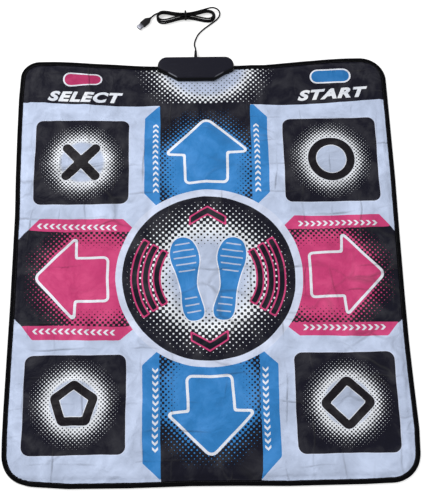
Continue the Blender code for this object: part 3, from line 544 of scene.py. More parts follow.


# Tie round the hank's waist: a flat rubber band

def makeTie():
    step = hank["swellStep"] - hank["pinchStep"]
    waist = hank["swell"] - hank["pinch"]
    reach = cord["diameter"] / 2 + tie["slack"]
    near, far = -waist - reach, waist + step / 2 + reach
    height = cord["diameter"] + (hank["fullTurns"] - 1) * hank["layerStep"] + gap + tie["slack"]
    half = tie["thickness"] / 2
    low, high, bend = 2 * half, 2 * half + height, cord["diameter"] / 2
    corners = [(y, z, bend) for y, z in ((near, low), (far, low), (far, high), (near, high))]
    loop = roundedPolygon(offsetCorners(corners, half), 8, 6)
    middle = np.column_stack([0 * loop[:, 0], loop])
    way = unit(np.roll(middle, -1, 0) - np.roll(middle, 1, 0))
    out = np.cross(way, (1.0, 0.0, 0.0))
    across = np.linspace(0, 2 * np.pi, 16, endpoint=False)
    side = signedPower(np.cos(across), 0.35) * tie["width"] / 2
    lift = signedPower(np.sin(across), 0.7) * half
    local = (middle[:, None, :] + side[:, None] * np.array([1.0, 0, 0])
             - lift[:, None] * out[:, None, :])
    rings = turned(local, hank["turn"], *hank["centre"])
    rubber = mouldedMaterial("tieRubber", srgb(8, 8, 10), srgb(28, 28, 32), 0.6, 1500.0, 0.00008,
                             Specular_IOR_Level=0.08)
    obj = ringPiece("cord_tie", rings, rubber, closed=True)
    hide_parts("cable_tie")
    return obj


# Plug: the moulded grip and the metal shell, in plug space with x out of its mouth

def plugPoints(local):
    return turned(local, plug["angle"], *plug["start"], plug["gripHeight"] / 2)


def ovalRings(profile, count):
    # Superellipse rings: y = w/2 cos^p, z = h/2 sin^p with their signs, at x along the plug
    angle = 2 * np.pi * (np.arange(count) + 0.5) / count
    profile = np.array(profile)[:, :, None]
    y = signedPower(np.cos(angle), profile[:, 3]) * profile[:, 1] / 2
    z = signedPower(np.sin(angle), profile[:, 3]) * profile[:, 2] / 2
    return np.stack([profile[:, 0] + 0 * y, y, z], axis=-1)


def makePlug():
    width, height, neck = plug["gripWidth"], plug["gripHeight"], plug["cordEnd"]
    start, end = plug["neck"], plug["neck"] + plug["grip"]
    mouthWidth, mouthHeight = plug["shellWidth"] + 2 * gap, plug["shellHeight"] + 2 * gap
    rows = [(0.0, neck * 0.96, neck * 0.96, 1.0), (0.0004, neck, neck, 1.0)]
    for groove in range(3):  # three rings where the sleeve can bend
        x = 0.0010 + groove * 0.0014
        wide = neck * (1.04 + 0.07 * groove)
        rows += [(x, wide, wide, 1.0), (x + 0.0003, wide * 0.88, wide * 0.88, 1.0),
                 (x + 0.0007, wide * 0.88, wide * 0.88, 1.0),
                 (x + 0.0010, wide * 1.03, wide * 1.03, 1.0)]
    for t in np.linspace(0, 1, 9):
        grow = math.sin(t * math.pi / 2)
        rows.append((start + t * 0.0100, width * (0.42 + 0.58 * grow),
                     height * (0.68 + 0.32 * grow), 0.85 - 0.42 * grow))
    rows += [(end - 0.0016, width, height, 0.42),
             (end - 0.0006, width * 0.985, height * 0.97, 0.42),
             (end, width * 0.93, height * 0.90, 0.42), (end, mouthWidth, mouthHeight, 0.2),
             (end - plug["socket"], mouthWidth, mouthHeight, 0.2)]
    body = mouldedMaterial("plugGrip", srgb(10, 10, 13), srgb(32, 32, 36), 0.45, 2400.0, 0.00005,
                           Specular_IOR_Level=0.12)
    grip = ringPiece("plug_body", plugPoints(ovalRings(rows, 48)), body)
    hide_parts("plug_grip")
    steel, tree, shader = newMaterial("plugSteel", Metallic=1.0)
    where = place(tree)
    brushed = noise(tree, stretched(tree, where, (900.0, 900.0, 60.0)), 1.0, 2.0)
    marks = scuffed(tree, where, 300.0)
    shade = calcMix(tree, marks, srgb(88, 89, 96), srgb(58, 58, 64))
    connect(tree, shader, shade, calcRamp(tree, brushed, 0.3, 0.7, 0.2, 0.36), brushed, 0.00001)
    back, mouth = end - plug["socket"] + gap, end + plug["reach"]
    wide, high, wall = plug["shellWidth"], plug["shellHeight"], 2 * plug["wall"]
    rows = [(x, wide - inset, high - inset, 0.16) for x, inset in (
        (back, 0.0), (mouth - 0.0003, 0.0), (mouth, wall * 0.4), (mouth, wall), (back, wall))]
    shell = ringPiece("plug_tube", plugPoints(ovalRings(rows, 64)), steel, closed=True)
    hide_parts("plug_shell")
    return grip, shell


# Strain relief where the cord leaves the box: a collar on each side of the wall and a ribbed
# sleeve, as radii at distances behind the box

relief = {
    "origin": (boxX, 0.4750, 0.0095), "sides": 32, "ribPitch": 0.0042, "ribDepth": 0.00022,
    "collars": [(-0.0039, 0.0046), (-0.0023, 0.0046), (-0.0023, 0.0030), (0.0003, 0.0030),
                (0.0003, 0.0044), (0.0006, 0.0046), (0.0013, 0.0046), (0.0016, 0.0044)],
    "start": 0.0019, "end": 0.0186, "radius": 0.0038, "taper": 0.0011,
    "mouth": [(0.0190, 0.0024), (0.0190, 0.00185)],
}


def makeRelief():
    start, end = relief["start"], relief["end"]
    x = np.linspace(start, end, 40)
    sleeve = relief["radius"] - (x - start) / (end - start) * relief["taper"]
    wave = np.cos(2 * np.pi * (x - start) / relief["ribPitch"])
    sleeve -= relief["ribDepth"] * (0.5 - 0.5 * wave)
    profile = relief["collars"] + list(zip(x, sleeve)) + relief["mouth"]
    rubber = mouldedMaterial("reliefRubber", srgb(7, 7, 9), srgb(28, 28, 32), 0.55, 2000.0, 0.00005,
                             Specular_IOR_Level=0.08)
    rings = turnedRings(profile, relief["origin"], (0, 1, 0), relief["sides"])
    obj = ringPiece("cord_relief", rings, rubber)
    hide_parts("strain_relief")
    return obj


tiePiece = makeTie()
plugGrip, plugShell = makePlug()
reliefPiece = makeRelief()
pathLength(cordLine)
print("tie, plug and strain relief made")


# Cloth: one grid for the whole printed cover, cut along its lines into the field and the ten
# foot zones. Each zone rides its own body.

cloth = {
    "width": 0.820, "length": 0.949,
    "frameRadii": {"rearLeft": 0.042, "frontLeft": 0.052, "frontRight": 0.052, "rearRight": 0.042},
    "radii": {"rearLeft": 0.042, "frontLeft": 0.062, "frontRight": 0.057, "rearRight": 0.057},
    "dip": 0.0165, "dipFlat": 0.070, "dipReach": 0.340, "cell": 0.0035, "thickness": 0.0008,
    "edgeInset": 0.0030, "marginTop": 0.0031, "slopeStart": 0.0120, "slopeEnd": 0.0225,
    "top": 0.0081, "travel": 0.0023, "pressedShare": 0.05,
    "hemSlope": (0.0095, 0.0138), "crown": 0.0022, "rimFlat": 0.0045, "crownWidth": 0.026,
    "rimFree": 0.016, "hemFree": (0.018, 0.040), "boxFree": (0.004, 0.022), "deepest": -0.0004,
}
creases = {
    "count": 260, "seed": 7, "acrossMat": 0.39, "alongMat": (-0.46, 0.45),
    "leaning": [0.35, 0.9, 1.57, 2.3, 2.75, 0.05], "spread": 0.22, "half": (0.018, 0.075),
    "width": (0.0040, 0.0090), "height": 0.0026, "share": (-0.35, 1.0), "bow": 0.12,
    "swell": 0.00035,
}
box = {
    "front": 0.4160, "skirt": 0.4325, "roofEdge": (0.0180, 0.0197), "foot": 0.0019,
    "footStep": 0.0065, "stepAhead": 0.0013, "stepRun": 0.0008,
    "corners": [(0.0405, 0.0, 0.004), (0.063, 0.014, 0.008), (0.086, 0.027, 0.008),
                (0.086, 0.059, 0.021)],
}


def boxCorners():
    right = [(boxX + x, box["front"] + y, r) for x, y, r in box["corners"]]
    return right + [(boxX - x, box["front"] + y, r) for x, y, r in reversed(box["corners"])]


def hemDip(x):
    # How far the rear hem lies in front of its corners: a raised cosine behind the box
    reach = cloth["dipReach"] - cloth["dipFlat"]
    share = np.clip((np.abs(x - boxX) - cloth["dipFlat"]) / reach, 0.0, 1.0)
    return cloth["dip"] * (1.0 + np.cos(np.pi * share)) / 2.0


# How the hem of the mat in the photograph strays outwards from straight, along each side
stray = {
    "left": ([-0.43, -0.38, -0.32, -0.21, -0.10, 0.10, 0.19, 0.29, 0.38, 0.43],
             [0.0015, 0.0030, 0.0032, 0.0022, 0.0010, 0.0010, 0.0038, 0.0055, 0.0062, 0.0045]),
    "right": ([-0.43, -0.37, -0.32, -0.26, -0.19, -0.11, 0.05, 0.18, 0.30, 0.43],
              [0.0010, 0.0034, 0.0018, 0.0, -0.0018, -0.0022, -0.0016, -0.0004, -0.0012, -0.0022]),
    "front": ([-0.40, -0.365, -0.334, -0.28, -0.16, -0.04, 0.05, 0.15, 0.30, 0.38],
              [-0.0030, -0.0050, -0.0022, 0.0018, 0.0024, 0.0002, 0.0010, 0.0030, 0.0018, -0.0008]),
    "rear": ([-0.366, -0.33, -0.25, -0.20, 0.105, 0.135, 0.25, 0.29, 0.33],
             [-0.0016, -0.0012, -0.0015, 0.0, 0.0, -0.0022, -0.0024, -0.0012, 0.0]),
}


def strayed(x, y):
    # How far the cloth at (x, y) lies from its flat place: all of it at the hem, none inside
    outX = (np.interp(y, *stray["right"]) * ramp(x, 0.15, 0.40)
            - np.interp(y, *stray["left"]) * ramp(-x, 0.15, 0.40))
    outY = (np.interp(x, *stray["rear"]) * ramp(y, 0.20, 0.46)
            - np.interp(x, *stray["front"]) * ramp(-y, 0.20, 0.46))
    return outX, outY


def hemInset(x, y, lying=True):
    # Distance inside the hem: minus that to a rounded rectangle, once the dip is straightened.
    # Lying is the hem of the photograph, else it is the frame's, which the foam follows
    if lying:
        outX, outY = strayed(x, y)
        x, y = x - outX, y - outY
    straight = y + hemDip(x) * ramp(y, 0.15, 0.40)
    corner = cloth["radii"] if lying else cloth["frameRadii"]
    radius = np.where(straight > 0, np.where(x < 0, corner["rearLeft"], corner["rearRight"]),
                      np.where(x < 0, corner["frontLeft"], corner["frontRight"]))
    return -rectDistance(x, straight, cloth["width"] / 2, cloth["length"] / 2, radius)


def arrowOutline(tipX, tipY, direction):
    # An arrow zone, from its tip: head, barbs that drop back, and shaft
    head, drop, barb, shaft, length = 0.0795, 0.007, 0.088, 0.051, 0.1575
    upper = [(-head, barb, 0.004), (-head - drop, barb - drop, 0.004), (-head - drop, shaft, 0.004),
             (-length, shaft, 0.009)]
    local = [(0.0, 0.0, 0.004)] + upper + [(x, -y, r) for x, y, r in reversed(upper)]
    c, s = math.cos(math.radians(direction)), math.sin(math.radians(direction))
    return roundedPolygon([(tipX + c * x - s * y, tipY + s * x + c * y, r) for x, y, r in local], 4)


arrows = {
    "arrow_up": arrowOutline(0.0, 0.319, 90), "arrow_down": arrowOutline(0.0, -0.415, 270),
    "arrow_left": arrowOutline(-0.367, printY, 180), "arrow_right": arrowOutline(0.367, printY, 0),
}
squares = {
    "corner_rear_left": (-0.27125, 0.22025), "corner_rear_right": (0.27125, 0.22025),
    "corner_front_left": (-0.27125, -0.31625), "corner_front_right": (0.27125, -0.31625),
}
pads = {"select": (-0.2795, 0.4246), "start": (0.2795, 0.4271)}
zoneSizes = {"square": (0.10225, 0.10225, 0.015), "pad": (0.0445, 0.018, 0.0177)}

# The print, as corners (u, v) on the mat. The middle of each arrow's white line comes first,
# with the radius of each corner
printedArrows = {
    "arrow_up": [(0.0002, 0.3716, 0.017), (0.0918, 0.2894, 0.0045), (0.0455, 0.2865, 0.002),
                 (0.0455, 0.2153, 0.009), (0.0, 0.2178, 0.03), (-0.0463, 0.2140, 0.009),
                 (-0.0475, 0.2820, 0.002), (-0.0895, 0.2833, 0.0045)],
    "arrow_down": [(0.0002, -0.3723, 0.0145), (-0.0885, -0.2851, 0.0045), (-0.0455, -0.2815, 0.002),
                   (-0.0470, -0.2095, 0.010), (-0.0010, -0.2125, 0.03), (0.0438, -0.2093, 0.010),
                   (0.0480, -0.2798, 0.002), (0.0890, -0.2810, 0.0045)],
    "arrow_left": [(-0.3632, 0.0037, 0.0135), (-0.2774, 0.0911, 0.0035), (-0.2757, 0.0447, 0.002),
                   (-0.2097, 0.0455, 0.009), (-0.2105, 0.0, 0.03), (-0.2092, -0.0493, 0.008),
                   (-0.2764, -0.0503, 0.002), (-0.2774, -0.0909, 0.0035)],
    "arrow_right": [(0.3690, 0.0034, 0.014), (0.2831, 0.0938, 0.0035), (0.2807, 0.0523, 0.002),
                    (0.2119, 0.0505, 0.008), (0.2142, 0.0010, 0.03), (0.2124, -0.0473, 0.008),
                    (0.2817, -0.0448, 0.002), (0.2844, -0.0861, 0.0035)],
}
# The strips beside the arrows, and the panels under them, which pass a little under the strips
printedStrips = {
    "pink": [[(-0.3799, 0.1088), (-0.3573, 0.1347), (-0.3020, 0.1341), (-0.1799, 0.1322),
              (-0.1480, 0.1010), (-0.1666, 0.1031), (-0.3000, 0.1043), (-0.3400, 0.1058)],
             [(0.3905, 0.1091), (0.3665, 0.1371), (0.3020, 0.1350), (0.2570, 0.1346),
              (0.1851, 0.1360), (0.1480, 0.0990), (0.1681, 0.1050), (0.3000, 0.1058)],
             [(-0.3848, -0.1002), (-0.3623, -0.1303), (-0.3020, -0.1322), (-0.1829, -0.1336),
              (-0.1450, -0.1017), (-0.1720, -0.1048), (-0.2500, -0.1028), (-0.3250, -0.1012)],
             [(0.3895, -0.1030), (0.3650, -0.1321), (0.3020, -0.1315), (0.2570, -0.1301),
              (0.1851, -0.1297), (0.1480, -0.0974), (0.1713, -0.1008), (0.3300, -0.1026)]],
    "blue": [[(-0.1358, 0.1915), (-0.1350, 0.3715), (-0.1012, 0.4028), (-0.1008, 0.3000),
              (-0.1022, 0.1700), (-0.0985, 0.1518)],
             [(0.1355, 0.1908), (0.1355, 0.3728), (0.1060, 0.4040), (0.0985, 0.4040),
              (0.0985, 0.2500), (0.0973, 0.1700), (0.0965, 0.1528)],
             [(-0.1375, -0.1873), (-0.1358, -0.3818), (-0.1005, -0.4160), (-0.1000, -0.3500),
              (-0.1025, -0.1720), (-0.0985, -0.1511)],
             [(0.1373, -0.1868), (0.1368, -0.3740), (0.0968, -0.4172), (0.1003, -0.4000),
              (0.1003, -0.1720), (0.0985, -0.1494)]],
}
printedPanels = {
    "pink": [[(-0.4120, -0.0721), (-0.3848, -0.1002), (-0.3760, -0.1080), (-0.1720, -0.1080),
              (-0.1400, -0.0900), (-0.1400, 0.0900), (-0.1700, 0.1070), (-0.3740, 0.1130),
              (-0.3799, 0.1088), (-0.4120, 0.0797)],
             [(0.4100, -0.0850), (0.3956, -0.0992), (0.3895, -0.1045), (0.3830, -0.1080),
              (0.1700, -0.1070), (0.1400, -0.0900), (0.1400, 0.0900), (0.1700, 0.1080),
              (0.3860, 0.1125), (0.3905, 0.1091), (0.4100, 0.0870)]],
    "blue": [[(-0.1010, 0.4100), (-0.1040, 0.3900), (-0.1040, 0.1500), (0.1010, 0.1500),
              (0.1010, 0.3900), (0.0985, 0.4100)],
             [(-0.1040, -0.1500), (-0.1040, -0.3950), (-0.1000, -0.4160), (-0.1000, -0.4300),
              (0.0968, -0.4300), (0.0968, -0.4172), (0.1030, -0.3950), (0.1030, -0.1500)]],
}
# Each square: its middle, half length, and the middle of the bare spot in its dots
printedSquares = [
    ((-0.2712, 0.2690), 0.1015, (-0.2704, 0.2661)),
    ((0.2710, 0.2690), 0.1015, (0.2709, 0.2670)),
    ((-0.2717, -0.2640), 0.1005, (-0.2724, -0.2628)),
    ((0.2722, -0.2670), 0.1018, (0.2728, -0.2684)),
]
squareHalfWidth, squareRadius = 0.1022, 0.0165
# Each pad's slanted line (height at u = 0, tilt), its middle along u, and its half sizes and radius
printedPads = {"select": (0.46204, -0.035, -0.2748, (0.0443, 0.0180, 0.0172)),
               "start": (0.46373, 0.035, 0.2814, (0.0458, 0.0180, 0.0175))}
# The middle of the rows of chevrons on the strips: |v| at these places of u, and |u|
chevronRows = {"places": [-0.36, -0.20, 0.20, 0.36], "rear": [0.1186, 0.1126, 0.1175, 0.1170],
               "front": [0.1120, 0.1168, 0.1125, 0.1138], "blue": 0.1108}
# Shares of black in the dots, each by a distance in metres
coverage = {
    "fan": ([0.04, 0.085, 0.105, 0.122, 0.140, 0.158], [0.04, 0.18, 0.50, 0.76, 0.93, 1.0]),
    "square": ([0.043, 0.048, 0.052, 0.056, 0.060, 0.064, 0.068, 0.072, 0.076, 0.080, 0.084, 0.092],
               [0.0, 0.12, 0.25, 0.36, 0.46, 0.53, 0.63, 0.755, 0.85, 0.90, 0.95, 1.0]),
    "slanted": ([-0.012, 0.0, 0.006, 0.012, 0.018, 0.024, 0.030, 0.036, 0.044, 0.052],
                [0.0, 0.34, 0.46, 0.60, 0.735, 0.825, 0.88, 0.925, 0.985, 1.0]),
    "ahead": ([0.330, 0.345, 0.360, 0.375, 0.390], [0.30, 0.66, 0.825, 0.95, 1.0]),
    "beside": ([0.064, 0.076, 0.084, 0.092, 0.100, 0.108], [0.0, 0.10, 0.23, 0.39, 0.52, 0.65]),
}


def zoneDistances(x, y):
    # Signed distance to each foot zone's outline
    found = {name: polygonDistance(outline, x, y) for name, outline in arrows.items()}
    for places, kind in ((squares, "square"), (pads, "pad")):
        for name, (cx, cy) in places.items():
            found[name] = rectDistance(x - cx, y - cy, *zoneSizes[kind])
    return found


def boxDistance(x, y, grown=0.0):
    return polygonDistance(roundedPolygon(offsetCorners(boxCorners(), grown), 6), x, y)


def folds(x, y):
    # Soft creases: each adds h exp(-(across / w)^2) exp(-(along / L)^4) on a bowed line, most
    # of them in a few directions, with a slow swell from crossed sines under them
    random = np.random.default_rng(creases["seed"])
    height = np.zeros(np.shape(x))
    leaning, reach = creases["leaning"], creases["acrossMat"]
    for _ in range(creases["count"]):
        cx, cy = random.uniform(-reach, reach), random.uniform(*creases["alongMat"])
        angle = leaning[random.integers(len(leaning))] + random.normal(0, creases["spread"])
        half = random.uniform(*creases["half"])
        width = random.uniform(*creases["width"])
        lift = random.uniform(*creases["share"]) * creases["height"]
        bow = random.normal(0, creases["bow"]) / half
        along = (x - cx) * math.cos(angle) + (y - cy) * math.sin(angle)
        across = (y - cy) * math.cos(angle) - (x - cx) * math.sin(angle) + bow * along ** 2
        height += lift * np.exp(-(across / width) ** 2 - (along / half) ** 4)
    swell = np.sin(31 * x + 9 * y + 1.3) * np.sin(-13 * x + 27 * y + 0.4)
    return height + creases["swell"] * swell


def clothHeight(x, y, zones=None):
    # The CAD cover's height, a low crown on each zone, and folds that die out at the hem, at
    # the box and along each zone's rim
    zones = zones or zoneDistances(x, y)
    rim = np.min([np.abs(d) for d in zones.values()], axis=0)
    inner = np.min(list(zones.values()), axis=0)
    inset = hemInset(x, y)
    slope = np.minimum(ramp(hemInset(x, y, False), cloth["slopeStart"], cloth["slopeEnd"]),
                       ramp(inset, *cloth["hemSlope"]))
    base = cloth["marginTop"] + (cloth["top"] - cloth["marginTop"]) * slope
    rimFlat = cloth["rimFlat"]
    crown = cloth["crown"] * ramp(-inner, rimFlat, rimFlat + cloth["crownWidth"])
    free = (ramp(rim, rimFlat, cloth["rimFree"]) * ramp(inset, *cloth["hemFree"])
            * ramp(boxDistance(x, y), *cloth["boxFree"]))
    return base + crown + free * np.maximum(folds(x, y), cloth["deepest"])


# Print: where each colour lies, as signed distances at the grid's points. u runs across the
# mat and v along it, from the middle of the round patch.

# Where the rear band starts, as the hem pulls it forward: places across, and along the mat
bandEdge = ([-0.405, -0.350, -0.300, -0.250, -0.200, -0.150, -0.100, 0.105, 0.150, 0.200, 0.250,
             0.300, 0.350, 0.397],
            [0.4168, 0.4125, 0.4096, 0.4065, 0.4033, 0.4019, 0.4025, 0.4043, 0.4023, 0.4023,
             0.4037, 0.4075, 0.4118, 0.4147])
pull = {"straightEdge": 0.4185, "start": 0.167, "end": 0.405, "power": 5, "squareShare": 0.6}


def printPlace(x, y):
    # Small waves in the print, and w, which is v with the band's front edge made straight
    u = x + 0.0005 * np.sin(41 * y + 17 * x) + 0.0002 * np.sin(113 * y + 1.1)
    v = y - printY + 0.0005 * np.sin(37 * x - 15 * y + 0.7) + 0.0002 * np.sin(121 * x)
    pulled = pull["straightEdge"] - np.interp(x, *bandEdge)
    share = np.clip((v - pull["start"]) / (pull["end"] - pull["start"]), 0.0, 1.0)
    return u, v, v + pulled * share ** pull["power"]


def nearest(outlines, u, v):
    # Signed distance to the nearest of several outlines
    return np.min([polygonDistance(outline, u, v) for outline in outlines], axis=0)


def padDistance(name, u, v, squeeze=1.0):
    height, tilt, middle, size = printedPads[name]
    return rectDistance(u - middle, (v - height - tilt * u) / squeeze, *size)


def printArrays(x, y):
    u, v, w = printPlace(x, y)
    au, av = np.abs(u), np.abs(v)
    rear, left = v > 0, u < 0
    lines = [roundedPolygon(corners, 6) for corners in printedArrows.values()]
    blueArrow, pinkArrow = (nearest(pair, u, v) - inks["arrowStroke"] / 2
                            for pair in (lines[:2], lines[2:]))
    drawn = v + pull["squareShare"] * (w - v)  # the rear squares are pulled less
    square = np.min([rectDistance(u - cu, drawn - cv, squareHalfWidth, half, squareRadius)
                     for (cu, cv), half, _ in printedSquares], axis=0)
    toSpot = np.min([np.hypot(u - su, v - sv) for _, _, (su, sv) in printedSquares], axis=0)
    selectPad = padDistance("select", u, v, 1.0 - 0.24 * ramp(u, -0.310, -0.250))
    fan = np.interp(np.hypot(u, (v - 0.505) * 1.2), *coverage["fan"])
    # How far past the middle of the mat each arrow reaches, on the side of its tip
    pinkPoint = au + np.where(left, 0.0058, 0.0)
    bluePoint = av - np.where(rear, 0.0026, 0.0033)
    row = av - np.where(rear, np.interp(u, chevronRows["places"], chevronRows["rear"]),
                        np.interp(u, chevronRows["places"], chevronRows["front"]))
    sole, soleAlong = soleDistance(au, v)
    panels, strips = ([nearest(shapes[ink], u, v) for ink in ("pink", "blue")]
                      for shapes in (printedPanels, printedStrips))
    made = {
        "printPlace": (u, w, 0 * u),
        "edgesA": (np.interp(x, *bandEdge) - v, *panels),
        "edgesB": (*strips, square),
        "edgesC": (pinkArrow, blueArrow, figureDistance(u, v)),
        "edgesD": (selectPad, padDistance("start", u, v), fan),
        "shades": (panelShade(pinkPoint, np.abs(v - 0.0035), av), panelShade(bluePoint, au, au),
                   np.interp(toSpot, *coverage["square"])),
        "rows": (row, au - chevronRows["blue"], 0 * u),
        "artwork": (sole, soleAlong, arcDistance(u, v)),
    }
    return {key: np.stack(parts, -1) for key, parts in made.items()}


# Where the dots on the panels start: the slanted sides back from an arrow's tip, and how much
# nearer the strips' dots come by the disc
panelEdge = {"tip": 0.367, "back": 0.088, "out": 0.080, "length": 0.1189,
             "nearDisc": ([0.165, 0.180, 0.195, 0.212], [0.030, 0.016, 0.008, 0.0])}


def panelShade(point, across, level):
    # Black on a panel: grows past the arrow's slanted sides, ahead of its tip, and towards the
    # strips, more so near the disc
    past = (point - panelEdge["tip"]) * panelEdge["back"] + across * panelEdge["out"]
    tip = np.interp(point, *coverage["ahead"]) * (point > coverage["ahead"][0][0])
    nearDisc = np.interp(point, *panelEdge["nearDisc"])
    return np.max([np.interp(past / panelEdge["length"], *coverage["slanted"]), tip,
                   np.interp(level + nearDisc, *coverage["beside"])], axis=0)


# The corner figures: middles, sizes, and half the width of their lines
figures = {
    "cross": (-0.2727, 0.2664), "crossReach": (0.031, 0.033), "crossHalf": 0.0103,
    "ring": (0.2724, 0.2676), "ringRadius": 0.0422, "ringHalf": 0.0089,
    "pentagon": (-0.2725, -0.2650), "pentagonRadius": 0.036, "pentagonGrow": 0.004,
    "pentagonHalf": 0.0086,
    "diamond": (0.2735, -0.2690), "diamondSize": (0.0335, 0.0335, 0.006), "diamondHalf": 0.0083,
}


def figureDistance(u, v):
    places = {name: (u - figures[name][0], v - figures[name][1])
              for name in ("cross", "ring", "pentagon", "diamond")}
    dx, dy = np.abs(places["cross"])
    armX, armY = figures["crossReach"]
    share = np.clip((dx * armX + dy * armY) / (armX ** 2 + armY ** 2), 0, 1)
    cross = np.hypot(dx - armX * share, dy - armY * share) - figures["crossHalf"]
    ring = np.abs(np.hypot(*places["ring"]) - figures["ringRadius"]) - figures["ringHalf"]
    five = circle(np.pi / 2 + 2 * np.pi * np.arange(5) / 5, figures["pentagonRadius"])
    side = polygonDistance(five, *places["pentagon"]) - figures["pentagonGrow"]
    pentagon = np.abs(side) - figures["pentagonHalf"]
    dx, dy = places["diamond"]
    side = rectDistance((dx + dy) * math.sqrt(0.5), (dx - dy) * math.sqrt(0.5),
                        *figures["diamondSize"])
    diamond = np.abs(side) - figures["diamondHalf"]
    return np.where(u < 0, np.where(v > 0, cross, pentagon), np.where(v > 0, ring, diamond))


# Outline of one shoe sole, outer side first: (x, y) from its middle
soleLine = [(0.0, -0.0930), (0.0150, -0.0890), (0.0225, -0.0740), (0.0228, -0.0540),
            (0.0205, -0.0250), (0.0245, 0.0100), (0.0310, 0.0400), (0.0300, 0.0640),
            (0.0190, 0.0850), (0.0010, 0.0915), (-0.0160, 0.0850), (-0.0270, 0.0640),
            (-0.0285, 0.0380), (-0.0200, 0.0100), (-0.0140, -0.0200), (-0.0180, -0.0500),
            (-0.0205, -0.0740), (-0.0140, -0.0890)]
artwork = {
    "soleMiddle": (0.0410, -0.002), "soleTurn": math.radians(9.0),
    "arcs": (0.1080, 0.1310, 0.1540), "arcHalf": 0.0052, "slope": 0.62,
    "foldPlace": 0.150, "foldHalf": 0.0058, "foldReach": 0.036,
}


def soleDistance(across, v):
    # A pair of shoe soles, mirrored at across = 0 and turned out
    c, s = math.cos(artwork["soleTurn"]), math.sin(artwork["soleTurn"])
    a, b = across - artwork["soleMiddle"][0], v - artwork["soleMiddle"][1]
    route = [(px, py, 0.0) for px, py in soleLine + soleLine[:1]]
    along = a * s + b * c
    return polygonDistance(smoothPath(route, 0.006)[:-1, :2], a * c - b * s, along), along


def arcDistance(u, v):
    # Three arcs on each side of the soles, and a chevron above and below them
    au, av = np.abs(u), np.abs(v)
    slope, shrink = artwork["slope"], 0.85  # 0.85 makes a distance of the slanted sides' sums
    arcs = np.min([np.abs(np.hypot(u, v) - radius) for radius in artwork["arcs"]], axis=0)
    arcs = np.maximum(arcs - artwork["arcHalf"], (av - slope * au) * shrink)
    fold = np.abs(au * slope + av - artwork["foldPlace"]) * shrink - artwork["foldHalf"]
    return np.minimum(arcs, np.maximum(fold, au - artwork["foldReach"]))


inks = {
    "pale": srgb(200, 213, 240), "inner": srgb(188, 200, 225), "bright": srgb(242, 246, 252),
    "rim": srgb(214, 223, 246), "black": srgb(19, 19, 32), "figure": srgb(23, 20, 26),
    "pink": srgb(211, 69, 125), "blue": srgb(55, 134, 204), "stroke": srgb(236, 240, 250),
    "padPink": srgb(184, 52, 103), "padBlue": srgb(45, 120, 186),
    "arrowStroke": 0.0057, "padStroke": 0.0035, "rimWidth": 0.0014, "artOutline": 0.0034,
    "disc": 0.1808, "ring": 0.1957, "fanEnd": 0.4235,
    "discShares": [(0.33, 0.0), (0.59, 0.5), (0.71, 0.8), (0.86, 1.0), (1.0, 1.0)],
    "discCentre": (0.0010, 0.0015, 0.0), "ringCentre": (0.0020, 0.0028, 0.0),
    "panelPitch": 0.0112, "fanPitch": 0.0120, "discPitch": 0.0135, "squarePitch": 0.0084,
    "chevronPitch": 0.0132, "chevronWidth": 0.0056, "chevronHalf": 0.0059,
    "chevronMiddle": 0.2798, "chevronSpan": 0.0833, "soleLine": 0.0022,
}
tread = {"pitch": 0.0150, "shift": 0.3, "width": 0.0030, "inset": 0.0065, "archMiddle": -0.012,
         "archHalf": 0.018}


def clothSurface(tree, where):
    # Heights in metres: soft folds, creases where it was folded away, and the weave
    creased = useGroup(tree, crumple, Vector=where, Scale=9.0)
    packed = useGroup(tree, packing, Vector=where, Spacing=0.058)["Crease"]
    threads = useGroup(tree, weave, Vector=where, Threads=900.0)["Height"]
    height = calc(tree, "MULTIPLY", creased["Fold"], 0.0085)
    for part, depth in ((creased["Crease"], 0.0018), (packed, 0.0018), (threads, 0.00003)):
        height = calc(tree, "MULTIPLY_ADD", part, depth, height)
    total = calc(tree, "MAXIMUM", creased["Crease"], packed)
    return {"Crease": total, "Fold": creased["Fold"]}, height


